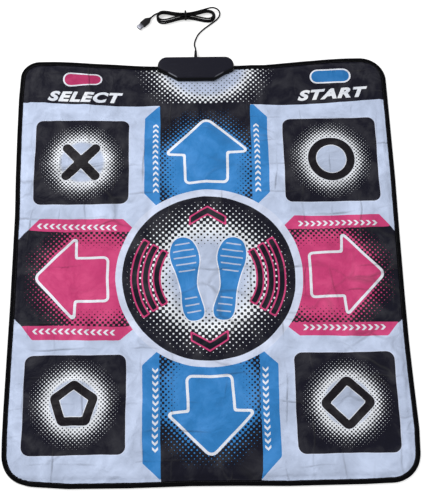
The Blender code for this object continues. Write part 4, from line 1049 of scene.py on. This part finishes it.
def makeClothMaterial():
    material, tree, shader = newMaterial("printedCloth", Specular_IOR_Level=0.10,
                                         Sheen_Weight=0.02, Sheen_Roughness=0.4)
    spot = addNode(tree, "ShaderNodeUVMap", uv_map="print").outputs[0]
    uw = split(tree, spot)
    band, pinkPanel, bluePanel = attribute(tree, "edgesA")
    pinkStrip, blueStrip, square = attribute(tree, "edgesB")
    pinkArrow, blueArrow, figure = attribute(tree, "edgesC")
    selectPad, startPad, fan = attribute(tree, "edgesD")
    pinkShade, blueShade, squareShade = attribute(tree, "shades")
    sole, soleAlong, arc = attribute(tree, "artwork")
    rows = attribute(tree, "rows")

    def inside(value, edge=0.0):
        return calc(tree, "LESS_THAN", value, edge)

    def both(first, second):
        return calc(tree, "MULTIPLY", first, second)

    def dots(pitch, share):
        return useGroup(tree, halftone, Vector=spot, Pitch=pitch, Coverage=share)["Ink"]

    def dotted(pitch, share, start, end):
        # Black dots on cloth that is brighter where they are
        bare = calcMix(tree, calcRamp(tree, share, start, end), inks["inner"], inks["bright"])
        return calcMix(tree, dots(pitch, share), bare, inks["black"])

    def painted(under, *layers):
        # Each layer is a mask and the ink that lies where it is 1
        for mask, ink in layers:
            under = calcMix(tree, mask, under, inks[ink])
        return under

    def lined(under, edge, width, ink):
        # A shape with a pale line inside its edge
        return painted(under, (inside(edge), "stroke"), (inside(edge, -width), ink))

    au, aw = (calc(tree, "ABSOLUTE", uw[k]) for k in (0, 1))
    colour = inks["pale"]
    for edge, shade, ink in ((pinkPanel, pinkShade, "pink"), (bluePanel, blueShade, "blue")):
        panel = calcMix(tree, dots(inks["panelPitch"], shade), inks[ink], inks["black"])
        colour = calcMix(tree, inside(edge), colour, panel)
    strips = calcMix(tree, inside(pinkStrip), inks["blue"], inks["pink"])
    onStrip = calc(tree, "MAXIMUM", inside(pinkStrip), inside(blueStrip))
    colour = calcMix(tree, onStrip, colour, strips)
    for edge, run, row in ((pinkStrip, au, rows[0]), (blueStrip, aw, rows[1])):
        # A row of chevrons: stripes of run + |row|, thirteen of them
        off = calc(tree, "ABSOLUTE", row)
        along = calc(tree, "ADD", run, off)
        mark = both(inside(calc(tree, "MODULO", along, inks["chevronPitch"]), inks["chevronWidth"]),
                    both(inside(off, inks["chevronHalf"]), inside(edge)))
        fromMiddle = calc(tree, "ABSOLUTE", calc(tree, "SUBTRACT", along, inks["chevronMiddle"]))
        mark = both(mark, inside(fromMiddle, inks["chevronSpan"]))
        colour = painted(colour, (mark, "stroke"))
    rear = painted(dotted(inks["fanPitch"], fan, 0.15, 0.45),
                   (inside(uw[1], inks["fanEnd"]), "black"))
    colour = calcMix(tree, inside(band), colour, rear)
    # The round patch: a pale ring, then the dotted disc with its artwork
    ringRadius, radius = (addNode(tree, "ShaderNodeVectorMath", {0: spot, 1: inks[key]},
                                  operation="DISTANCE").outputs["Value"]
                          for key in ("ringCentre", "discCentre"))
    colour = painted(colour, (inside(ringRadius, inks["ring"]), "rim"))
    # The disc's share of black, by its radius over 0.2 m
    curve = addNode(tree, "ShaderNodeFloatCurve", {"Value": calc(tree, "DIVIDE", radius, 0.2)})
    points = curve.mapping.curves[0].points
    first, *between, last = inks["discShares"]
    points[0].location, points[1].location = first, last
    for share in between:
        points.new(*share)
    for point in points:
        point.handle_type = "VECTOR"
    curve.mapping.update()
    disc = dotted(inks["discPitch"], curve.outputs[0], 0.05, 0.4)
    # Tread: bars across each sole, apart from its arch
    run = calc(tree, "MODULO", calc(tree, "ADD", soleAlong, tread["shift"]), tread["pitch"])
    fromArch = calc(tree, "ABSOLUTE", calc(tree, "SUBTRACT", soleAlong, tread["archMiddle"]))
    bars = both(inside(run, tread["width"]),
                calc(tree, "GREATER_THAN", fromArch, tread["archHalf"]))
    disc = painted(disc, (inside(arc, inks["artOutline"]), "pink"), (inside(arc), "black"),
                   (inside(sole, inks["soleLine"]), "stroke"), (inside(sole), "blue"),
                   (both(bars, inside(sole, -tread["inset"])), "inner"))
    colour = calcMix(tree, inside(radius, inks["disc"]), colour, disc)
    colour = lined(lined(colour, pinkArrow, inks["arrowStroke"], "pink"),
                   blueArrow, inks["arrowStroke"], "blue")
    block = painted(dotted(inks["squarePitch"], squareShade, 0.02, 0.2),
                    (inside(figure, inks["rimWidth"]), "stroke"), (inside(figure), "figure"))
    colour = painted(colour, (inside(square, inks["rimWidth"]), "rim"))
    colour = calcMix(tree, inside(square), colour, block)
    colour = lined(lined(colour, selectPad, inks["padStroke"], "padPink"),
                   startPad, inks["padStroke"], "padBlue")
    # Painted shade and sheen: folds and creases darken the print, and a painted sheen on them
    # leaves its black a little paler
    where = place(tree)
    creased, height = clothSurface(tree, where)
    shade = calc(tree, "MULTIPLY", calcRamp(tree, creased["Fold"], 0.3, 0.7, 0.82, 1.13),
                 calc(tree, "MULTIPLY_ADD", creased["Crease"], -0.32, 1.0))
    # Painted sheen: a lift of the colour on creases and on the high parts of the folds
    paintedSheen = calc(tree, "MULTIPLY_ADD", creased["Crease"], 0.017,
                calcRamp(tree, creased["Fold"], 0.46, 0.68, -0.002, 0.022))
    colour = addNode(tree, "ShaderNodeVectorMath", {0: colour, 1: shade, 2: paintedSheen},
                     operation="MULTIPLY_ADD").outputs[0]
    rough = drifting(tree, where, 22.0, 0.42, 0.58)
    connect(tree, shader, colour, rough, height, 1.0)
    return material


def cutGrid(cell, kept):
    # Even points over the mat, and the cells whose middles are kept. Points just past an edge
    # are drawn onto it along the gradient
    halfX, halfY = (math.ceil(size / 2 / cell) for size in (cloth["width"], cloth["length"]))
    x, y = np.meshgrid(np.arange(-halfX, halfX + 1) * cell, np.arange(-halfY, halfY + 1) * cell)
    middles = (x[:-1, :-1] + cell / 2, y[:-1, :-1] + cell / 2)
    value, step = kept(x, y), 0.0002
    gradX = (kept(x + step, y) - kept(x - step, y)) / (2 * step)
    gradY = (kept(x, y + step) - kept(x, y - step)) / (2 * step)
    move = np.where((value < 0) & (value > -1.2 * cell), -value, 0.0)
    move /= np.maximum(gradX ** 2 + gradY ** 2, 0.25)
    return x + move * gradX, y + move * gradY, kept(*middles) > 0, middles


def clothPiece(name, keep, x, y, z, thickness, arrays, material, body):
    # The kept cells as a closed sheet: upper faces, lower faces and a rim where cells end
    index = np.arange(x.size).reshape(x.shape)
    a, b, c, d = index[:-1, :-1], index[:-1, 1:], index[1:, 1:], index[1:, :-1]
    upper = np.stack([a, b, c, d], -1)[keep]
    padded = np.pad(keep, 1)
    rims = []
    for neighbour, (first, second) in ((padded[:-2, 1:-1], (a, b)), (padded[1:-1, 2:], (b, c)),
                                       (padded[2:, 1:-1], (c, d)), (padded[1:-1, :-2], (d, a))):
        edge = keep & ~neighbour
        rims.append(np.stack([first[edge], second[edge]], -1))
    rims = np.vstack(rims)
    used = np.unique(upper)
    renumber = np.zeros(x.size, int)
    renumber[used] = np.arange(used.size)
    upper, rims, low = renumber[upper], renumber[rims], used.size
    walls = np.column_stack([rims[:, 0] + low, rims[:, 1] + low, rims[:, 1], rims[:, 0]])
    faces = np.vstack([upper, upper[:, ::-1] + low, walls])
    top = np.column_stack([x.ravel()[used], y.ravel()[used], z.ravel()[used]])
    points = np.vstack([top, top - (0, 0, thickness)])
    obj = putMesh(name, points, faces.tolist(), material, body, 50.0)
    mesh = obj.data
    for key, values in arrays.items():
        values = np.vstack([values.reshape(-1, 3)[used]] * 2)
        if key == "printPlace":
            putUvs(mesh, "print", values[:, :2])
        else:
            layer = mesh.attributes.new(key, "FLOAT_VECTOR", "POINT")
            layer.data.foreach_set("vector", values.ravel())
    return obj


def makeCloth():
    def kept(px, py):
        hole = np.maximum(boxDistance(px, py, 0.0004), box["skirt"] - py)
        return np.minimum(hemInset(px, py) - cloth["edgeInset"], hole)

    x, y, keep, middles = cutGrid(cloth["cell"], kept)
    z = clothHeight(x, y)
    arrays = printArrays(x, y)
    material = makeClothMaterial()
    rest = keep.copy()
    made = {}
    for name, distance in zoneDistances(*middles).items():
        inZone = keep & (distance < 0)
        rest &= ~inZone
        piece = clothPiece(name + "_cloth", inZone, x, y, z, cloth["thickness"], arrays, material,
                           name + "_button")
        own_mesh(piece)
        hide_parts(name + "_skin")
        size = [float(np.ptp(part[:-1, :-1][inZone])) + cloth["cell"] for part in (x, y)]
        made[name] = piece
    field = clothPiece("printed_cloth", rest, x, y, z, cloth["thickness"], arrays, material, "mat")
    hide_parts("printed_cover")
    return field, float(rest.sum()) * cloth["cell"] ** 2, made


clothField, fieldArea, zonePieces = makeCloth()
print("cloth laid:", len(clothField.data.polygons), "faces in the field")


# Words on the rear band, of the built-in font made bold and slanted, laid on the cloth

words = {
    "SELECT": {"left": -0.3510, "right": -0.1835, "low": 0.4178, "tilt": -0.049},
    "START": {"left": 0.2055, "right": 0.3635, "low": 0.4113, "tilt": 0.062},
    "height": 0.0262, "lift": 0.00012, "ink": 0.00010, "cut": 0.0040,
    "font": {"shear": 0.30, "offset": 0.052, "space_character": 1.16, "extrude": 0.5,
             "resolution_u": 6},
}


def makeWord(text, material):
    curve = bpy.data.curves.new(text, "FONT")
    curve.body = text
    for key, value in words["font"].items():
        setattr(curve, key, value)
    source = bpy.data.objects.new(text + "_source", curve)
    scene.collection.objects.link(source)
    bpy.context.view_layer.update()
    graph = bpy.context.evaluated_depsgraph_get()
    mesh = bpy.data.meshes.new_from_object(source.evaluated_get(graph))
    bpy.data.objects.remove(source)
    bm = bmesh.new()
    bm.from_mesh(mesh)
    bmesh.ops.remove_doubles(bm, verts=bm.verts, dist=1e-5)
    found = np.array([v.co for v in bm.verts])
    low, high = found.min(axis=0), found.max(axis=0)
    span = words[text]
    scale = ((span["right"] - span["left"]) / (high[0] - low[0]),
             words["height"] / (high[1] - low[1]))
    flat = (found - low) * (*scale, words["ink"]) + (span["left"], span["low"] + printY, 0.0)
    for vert, co in zip(bm.verts, flat):
        vert.co = co
    for axis, first, last in ((0, span["left"], span["right"]),
                              (1, span["low"] + printY, span["low"] + printY + words["height"])):
        normal = np.eye(3)[axis]
        for at in np.arange(first + words["cut"], last, words["cut"]):
            bmesh.ops.bisect_plane(bm, geom=bm.verts[:] + bm.edges[:] + bm.faces[:],
                                   plane_co=normal * at, plane_no=normal)
    bmesh.ops.triangulate(bm, faces=bm.faces)
    bmesh.ops.recalc_face_normals(bm, faces=bm.faces)
    bm.to_mesh(mesh)
    bm.free()
    points = np.empty(len(mesh.vertices) * 3)
    mesh.vertices.foreach_get("co", points)
    points = points.reshape(-1, 3)
    # The line of text rises or falls with the hem, and lies on the cloth
    x, y = points[:, 0], points[:, 1] + span["tilt"] * (points[:, 0] - span["left"])
    z = clothHeight(x, y) + words["lift"] + points[:, 2] - words["ink"] * 0.5
    mesh.vertices.foreach_set("co", np.column_stack([x, y, z]).ravel())
    mesh.update()
    mesh.shade_smooth()
    mesh.set_sharp_from_angle(angle=math.radians(50))
    mesh.materials.clear()
    mesh.materials.append(material)
    obj = bpy.data.objects.new("word_" + text.lower(), mesh)
    scene.collection.objects.link(obj)
    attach(obj, "mat")
    return obj


def makeWordMaterial():
    material, tree, shader = newMaterial("whiteInk", Specular_IOR_Level=0.25)
    where = place(tree)
    creased, height = clothSurface(tree, where)
    # Painted shade: the white ink darkens where the folds lie low and is brightest on their tops
    shade = calcMix(tree, calcRamp(tree, creased["Fold"], 0.35, 0.65), srgb(220, 226, 238),
                    srgb(245, 247, 252))
    rough = drifting(tree, where, 30.0, 0.45, 0.6)
    connect(tree, shader, shade, rough, height, 1.0)
    return material


whiteInk = makeWordMaterial()
wordPieces = [makeWord(text, whiteInk) for text in ("SELECT", "START")]
print("words laid")


# Binding: a tape folded over the hem, with its row of stitches

tape = {
    "width": 0.0105, "wall": 0.0010, "top": 0.0045, "spacing": 0.0036, "pucker": 0.00028,
    "stitchInset": 0.0084, "stitchPitch": 0.0036, "stitchLength": 0.0027, "thread": 0.00026,
}


def hemLine(spacing):
    # The outline from the box's left side round to its right side, seen from above
    # counterclockwise: the dipped rear hem, then sides and corner arcs
    half, length = cloth["width"] / 2, cloth["length"] / 2
    left, right = boxX - 0.0863, boxX + 0.0863
    corner = cloth["radii"]
    start = np.linspace(left, -half + corner["rearLeft"], 60)
    parts = [np.column_stack([start, length - hemDip(start)])]
    for name, acrossSign, alongSign, begin in (("rearLeft", -1, 1, 90), ("frontLeft", -1, -1, 180),
                                               ("frontRight", 1, -1, 270), ("rearRight", 1, 1, 0)):
        radius = corner[name]
        parts.append(circle(np.radians(begin + np.linspace(0, 90, 30)), radius)
                     + (acrossSign * (half - radius), alongSign * (length - radius)))
    end = np.linspace(half - corner["rearRight"], right, 60)
    parts.append(np.column_stack([end, length - hemDip(end)]))
    line = respace(np.vstack(parts), spacing)
    return respace(line + np.column_stack(strayed(line[:, 0], line[:, 1])), spacing)


def ripple(along, seed):
    # Slow uneven waves along the tape: four sines with lengths that don't match
    random = np.random.default_rng(seed)
    waves = [np.sin(2 * np.pi * along / length + random.uniform(0, 6.28))
             for length in (0.0117, 0.0190, 0.0430, 0.1310)]
    return (0.35 * waves[0] + 0.30 * waves[1] + 0.5 * waves[2] + 0.4 * waves[3]) / 1.2


def tapeMaterial():
    material, tree, shader = newMaterial("bindingTape", Specular_IOR_Level=0.03)
    where = place(tree)
    run = split(tree, addNode(tree, "ShaderNodeUVMap", uv_map="run").outputs[0])
    # Ribs along the tape, and a shallow dent where each stitch pulls it down
    rib = calc(tree, "SINE", calc(tree, "MULTIPLY", run[1], 2 * math.pi / 0.0007))
    wave = calc(tree, "SINE", calc(tree, "MULTIPLY", run[0], 2 * math.pi / tape["stitchPitch"]))
    fromSeam = calc(tree, "ABSOLUTE", calc(tree, "SUBTRACT", run[1], tape["stitchInset"]))
    near = calcRamp(tree, fromSeam, 0.0, 0.0016, 1.0, 0.0)
    height = calc(tree, "MULTIPLY_ADD", calc(tree, "MULTIPLY", wave, near), 0.5,
                  calc(tree, "MULTIPLY", rib, 0.12))
    marks = scuffed(tree, where, 60.0)
    shade = calcMix(tree, marks, srgb(5, 5, 7), srgb(22, 22, 26))
    rough = drifting(tree, where, 40.0, 0.5, 0.7)
    connect(tree, shader, shade, rough, height, 0.0005)
    return material


def makeBinding():
    line = hemLine(tape["spacing"])
    along = distanceAlong(line)
    way = unit(np.gradient(line, axis=0))
    inward = np.column_stack([-way[:, 1], way[:, 0]])
    wide, wall, top = tape["width"], tape["wall"], tape["top"]
    lower = [(0.0009, 0.0), (0.0050, 0.0), (wide, 0.0), (wide, wall), (0.0012, wall),
             (0.0012, 0.0033), (wide - 0.0002, 0.0033)]
    upper = [(wide, 0.0036), (wide - 0.0003, 0.0040), (wide - 0.0012, top - 0.0003),
             (tape["stitchInset"], top - 0.0004), (0.0070, top), (0.0052, top + 0.0002),
             (0.0034, top + 0.0002), (0.0020, top), (0.0009, top - 0.0006), (0.0002, 0.0031),
             (0.0, 0.0022), (0.0002, 0.0010)]
    profile = np.array(lower + upper)
    # How much each point of the profile follows the puckers, upwards and inwards
    rise = [0.2, 0.4, 0.7, 0.8, 1.0, 1.0, 1.0, 0.9, 0.6, 0.3, 0.0, 0.0]
    soft = np.array([0.0] * len(lower) + rise)
    lift = tape["pucker"] * ripple(along, 3)[:, None] * soft
    loose = np.array([0.0] * 2 + [1, 1, 0, 0, 1, 1, 1, 1] + [0.0] * 9)
    inset = profile[:, 0] + 0.0003 * ripple(along, 5)[:, None] * loose
    rings = np.stack([line[:, 0, None] + inward[:, 0, None] * inset,
                      line[:, 1, None] + inward[:, 1, None] * inset, profile[:, 1] + lift], axis=-1)
    obj = ringPiece("binding_tape", rings, tapeMaterial(), sharp=60.0)
    runs = np.stack(np.broadcast_arrays(along[:, None], inset), -1).reshape(-1, 2)
    putUvs(obj.data, "run", runs)
    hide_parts("edge_binding")
    return obj, line


def makeStitches(line):
    # One stitch is a small rounded bar; all of them are one mesh
    places = respace(line, tape["stitchPitch"])
    wayHere = unit(np.gradient(places, axis=0))
    inHere = np.column_stack([-wayHere[:, 1], wayHere[:, 0]])
    at = np.linspace(0, pathLength(line), len(places))
    base = tape["top"] - 0.0004 + tape["pucker"] * 0.8 * ripple(at, 3)
    bar = np.linspace(-1, 1, 6)
    size = tape["thread"] * np.sqrt(np.maximum(1 - np.abs(bar) ** 3, 0.02))
    ring = circleProfile(1.0, 6)
    middle = places + inHere * tape["stitchInset"]
    offset = bar[None, :, None, None] * wayHere[:, None, None, :] * tape["stitchLength"] / 2
    across = (size[:, None] * ring[:, 0])[None, :, :, None] * inHere[:, None, None, :]
    flat = middle[:, None, None, :] + offset + across
    sag = 0.00012 - 0.0002 * bar[None, :, None] ** 2
    height = base[:, None, None] + sag + size[:, None] * ring[:, 1]
    stitches = np.concatenate([flat, height[..., None]], axis=-1)
    one = ringFaces(6, 6)
    faces = [[v + 36 * k for v in face] for k in range(len(places)) for face in one]
    thread = mouldedMaterial("stitchThread", srgb(30, 30, 34), srgb(60, 60, 66), 0.7, 5000.0,
                             0.00004)
    row = putMesh("binding_stitches", stitches.reshape(-1, 3), faces, thread)
    return row


bindingPiece, hem = makeBinding()
stitchPiece = makeStitches(hem)
print("binding and stitches made")


# Backing: a rubbery sheet with raised dots, under everything

backing = {"cell": 0.0065, "thickness": 0.0007, "margin": 0.0020, "field": 0.0007,
           "edgeInset": 0.0025, "slopeStart": 0.0120, "slopeEnd": 0.0185}


def makeBacking():
    material, tree, shader = newMaterial("backingRubber", Roughness=0.8, Specular_IOR_Level=0.25)
    where = place(tree)
    stud = useGroup(tree, halftone, Vector=where, Pitch=0.009, Coverage=0.28)["Ink"]
    cells = useGroup(tree, grain, Vector=where, Scale=900.0)["Height"]
    shade = calcMix(tree, stud, srgb(38, 38, 42), srgb(20, 20, 23))
    marks = scuffed(tree, where, 30.0)
    shade = calcMix(tree, marks, shade, srgb(84, 84, 88))
    connect(tree, shader, shade, calcRamp(tree, cells, 0.2, 0.8, 0.7, 0.9),
            calc(tree, "MULTIPLY_ADD", stud, 1.0, calc(tree, "MULTIPLY", cells, 0.15)), 0.0004)
    def kept(px, py):
        return np.minimum(hemInset(px, py) - backing["edgeInset"], boxDistance(px, py, 0.0006))

    x, y, keep, _ = cutGrid(backing["cell"], kept)
    z = backing["margin"] + (backing["field"] - backing["margin"]) * ramp(
        hemInset(x, y, False), backing["slopeStart"], backing["slopeEnd"])
    obj = clothPiece("backing_sheet", keep, x, y, z, backing["thickness"], {}, material, "mat")
    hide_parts("non_slip_backing")


makeBacking()
print("backing made")


# Control box: the upper shell as one closed wall, its foot stepped over the mat

def makeBoxMaterial():
    # Painted shade, dark below the roof, and a painted glint: a pale line along the two slanted
    # front edges
    material, tree, shader = newMaterial("boxPlastic", Specular_IOR_Level=0.1)
    where = place(tree)
    x, y, z = split(tree, where)
    surface = useGroup(tree, grain, Vector=where, Scale=1700.0)
    marks = scuffed(tree, where, 70.0)
    roof = calcMix(tree, marks, srgb(20, 20, 32), srgb(44, 44, 56))
    # Painted shade: the walls below the roof's edge are near black, darker than the roof
    shade = calcMix(tree, calcRamp(tree, z, *box["roofEdge"]), srgb(4, 4, 6), roof)
    across = calc(tree, "ABSOLUTE", calc(tree, "SUBTRACT", x, boxX))
    # Distance inside the slanted edge: 0.849 (y - front) - 0.528 (across - 0.0405)
    ahead = calc(tree, "MULTIPLY", calc(tree, "SUBTRACT", y, box["front"]), 0.849)
    depth = calc(tree, "MULTIPLY_ADD", calc(tree, "SUBTRACT", across, 0.0405), -0.528, ahead)
    # Painted glint: a pale line along each slanted front edge, stronger on the left
    paintedGlint = calcRamp(tree, x, boxX - 0.03, boxX + 0.03, 0.85, 0.45)
    for value, middle, start, end in ((depth, 0.0034, 0.0006, 0.0013),
                                      (across, 0.0520, 0.0070, 0.0110)):
        away = calc(tree, "ABSOLUTE", calc(tree, "SUBTRACT", value, middle))
        paintedGlint = calc(tree, "MULTIPLY", paintedGlint, calcRamp(tree, away, start, end, 1.0, 0.0))
    shade = calcMix(tree, paintedGlint, shade, srgb(128, 130, 140))
    rough = calc(tree, "MULTIPLY_ADD", surface["Fine"], 0.16, 0.34)
    connect(tree, shader, shade, rough, surface["Height"], 0.00007)
    return material


def makeBox():
    # Inset and height of each ring, up the outside and down the inside; None is the foot
    rows = [(0.0, None), (0.0, 0.0090), (0.0, 0.0115), (0.0003, 0.0138), (0.0008, 0.0156),
            (0.0016, 0.0173), (0.0027, 0.0186), (0.0040, 0.0194), (0.0054, 0.0198),
            (0.0070, 0.0200), (0.0070, 0.0180), (0.0052, 0.0178), (0.0036, 0.0168),
            (0.0026, 0.0150), (0.0021, 0.0130), (0.0020, None)]
    roof = 9
    rings = []
    for inset, z in rows:
        outline = roundedPolygon(offsetCorners(boxCorners(), -inset), 12, 10)
        # The foot stands near the floor behind the mat and steps up over it
        behind = box["skirt"] + box["stepAhead"] - outline[:, 1]
        foot = box["foot"] + box["footStep"] * ramp(behind, 0.0, box["stepRun"])
        rings.append(np.column_stack([outline, foot if z is None else 0 * foot + z]))
    rings = np.array(rings)
    count, around = rings.shape[:2]
    faces = ringFaces(count, around, caps=False)
    index = np.arange(count * around).reshape(count, around)
    # The two flat roofs are one face each, and the wall's foot joins the last ring to the first
    faces = [face for face in faces if face[0] // around != roof]
    faces += [index[roof].tolist(), index[roof + 1][::-1].tolist()]
    foot = [index[-1], np.roll(index[-1], -1), np.roll(index[0], -1), index[0]]
    faces += np.stack(foot, -1).tolist()
    obj = putMesh("box_shell", rings.reshape(-1, 3), faces, makeBoxMaterial(), "mat", 50.0)
    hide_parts("box_upper_shell")


makeBox()
print("box made")


# Finishes of the parts inside, which stay as the frame has them

def foamMaterial(name, colour, deep):
    material, tree, shader = newMaterial(name, Roughness=0.95, Specular_IOR_Level=0.1)
    where = place(tree)
    pores = voronoi(tree, where, 1400.0)
    # Painted shade: each pore is darker towards its middle, where the bump makes its pit; slow
    # patches take the darker colour too
    shade = calcMix(tree, calcRamp(tree, pores, 0.1, 0.6), deep, colour)
    shade = calcMix(tree, calcRamp(tree, noise(tree, where, 25.0), 0.4, 0.7, 0.0, 0.3), shade, deep)
    connect(tree, shader, shade, None, pores, 0.0003)
    return material


def boardMaterial():
    material, tree, shader = newMaterial("boardMask", Coat_Weight=0.3)
    where = place(tree)
    inputs = {"Vector": where, "Scale": 130.0, "Mortar Size": 0.012, "Color1": srgb(14, 74, 40),
              "Color2": srgb(10, 62, 34), "Mortar": srgb(48, 120, 66)}
    tracks = addNode(tree, "ShaderNodeTexBrick", inputs).outputs
    tint = noise(tree, where, 300.0)
    shade = calcMix(tree, calcRamp(tree, tint, 0.4, 0.7, 0.0, 0.25), tracks["Color"],
                    srgb(20, 90, 50))
    connect(tree, shader, shade, calcRamp(tree, tint, 0.3, 0.7, 0.3, 0.45), tracks["Fac"], 0.00004)
    return material


# Name: colour, marked colour, roughness, and where they differ pits, their depth and scuffs' scale
plainFinishes = {
    "filmSheet": ((190, 194, 198), (160, 164, 170), 0.3, 700.0, 0.00002, 20.0),
    "carbonInk": ((34, 34, 36), (60, 60, 62), 0.6, 3000.0, 0.00003, 50.0),
    "screwSteel": ((190, 191, 195), (140, 140, 146), 0.3, 2500.0, 0.00001, 400.0),
    "contactGold": ((214, 180, 110), (170, 140, 90), 0.28, 2500.0, 0.00001, 400.0),
    "floorPlastic": ((28, 28, 33), (60, 60, 66), 0.5, 1700.0, 0.00007),
    "barPlastic": ((74, 74, 80), (100, 100, 106), 0.5),
    "stripRubber": ((112, 112, 116), (90, 90, 94), 0.85),
    "chipResin": ((30, 30, 32), (52, 52, 54), 0.55),
    "capacitorSleeve": ((40, 52, 110), (60, 72, 130), 0.4),
    "tonguePlastic": ((232, 232, 228), (205, 205, 200), 0.5),
    "wire1": ((190, 40, 44), (215, 65, 69), 0.4),
    "wire2": ((222, 222, 222), (247, 247, 247), 0.4),
    "wire3": ((44, 140, 70), (69, 165, 95), 0.4),
    "wire4": ((26, 26, 28), (51, 51, 53), 0.4),
}
metals = ("screwSteel", "contactGold")


def finishNodes():
    made = {name: mouldedMaterial(name, srgb(*colour), srgb(*marked), *rest,
                                  Metallic=float(name in metals))
            for name, (colour, marked, *rest) in plainFinishes.items()}
    foam = foamMaterial("foamPale", srgb(228, 224, 208), srgb(176, 170, 150))
    finishes = {
        "padding_foam": foam, "spacer_foam": foam, "upper_contact_film": made["filmSheet"],
        "lower_contact_film": made["filmSheet"], "box_lower_shell": made["floorPlastic"],
        "circuit_board": boardMaterial(), "clamp_bar": made["barPlastic"],
        "contact_rubber_strip": made["stripRubber"], "controller_chip": made["chipResin"],
        "crystal": made["screwSteel"], "clamp_screw_left": made["screwSteel"],
        "clamp_screw_right": made["screwSteel"], "capacitor": made["capacitorSleeve"],
        "plug_tongue": made["tonguePlastic"],
    }
    for k in (1, 2, 3, 4):
        finishes[f"cable_wire_{k}"] = made[f"wire{k}"]
        finishes[f"case_screw_{k}"] = made["screwSteel"]
        finishes[f"plug_contact_{k}"] = made["contactGold"]
    for name in zonePieces:
        finishes[name + "_patch"] = made["carbonInk"]
    for name, material in finishes.items():
        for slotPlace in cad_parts[name].material_slots:
            slotPlace.material = material


finishNodes()
print("inner parts finished")


# Floor and light: a pale floor, a soft lamp above the left side and an even sky

studio = {"sky": 0.60, "key": 36.0, "keySize": 1.0, "keyPlace": (-1.4, 1.32, 2.3),
          "fill": 4.0, "fillSize": 2.0, "fillPlace": (1.6, -0.9, 1.9), "floorGlow": 0.46,
          "floorReach": 8.0}


def seenDirectly(tree):
    # 1 for rays from the camera, from gloss and through glass
    path = addNode(tree, "ShaderNodeLightPath").outputs
    first = calc(tree, "MAXIMUM", path["Is Camera Ray"], path["Is Glossy Ray"])
    return calc(tree, "MAXIMUM", first, path["Is Transmission Ray"])


def makeStudio():
    floor, tree, shader = newMaterial("floorPaint", Roughness=0.9, Specular_IOR_Level=0.0)
    where = place(tree)
    speck = drifting(tree, where, 3.0, 0.80, 0.83)
    tone = addNode(tree, "ShaderNodeCombineColor", {0: speck, 1: speck, 2: speck}).outputs[0]
    connect(tree, shader, tone)
    shader.inputs["Emission Color"].default_value = (1, 1, 1, 1)
    glow = calc(tree, "MULTIPLY", seenDirectly(tree), studio["floorGlow"])
    tree.links.new(glow, shader.inputs["Emission Strength"])
    mesh = bpy.data.meshes.new("floor")
    reach = studio["floorReach"]
    corners = [(x * reach, y * reach, -gap) for x, y in ((-1, -1), (1, -1), (1, 1), (-1, 1))]
    mesh.from_pydata(corners, [], [(0, 1, 2, 3)])
    mesh.materials.append(floor)
    obj = bpy.data.objects.new("floor", mesh)
    scene.collection.objects.link(obj)
    world = bpy.data.worlds.new("sky")
    world.use_nodes = True
    back = world.node_tree.nodes["Background"]
    back.inputs["Color"].default_value = (1, 1, 1, 1)
    tree = world.node_tree
    level = calc(tree, "MULTIPLY_ADD", seenDirectly(tree), 1 - studio["sky"], studio["sky"])
    tree.links.new(level, back.inputs["Strength"])
    scene.world = world
    for name in ("key", "fill"):
        data = bpy.data.lights.new(name, "AREA")
        data.energy = studio[name]
        data.size = studio[name + "Size"]
        lamp = bpy.data.objects.new(name, data)
        lamp.location = studio[name + "Place"]
        lamp.rotation_euler = (-lamp.location).to_track_quat("-Z", "Y").to_euler()
        scene.collection.objects.link(lamp)


makeStudio()
print("studio lit")
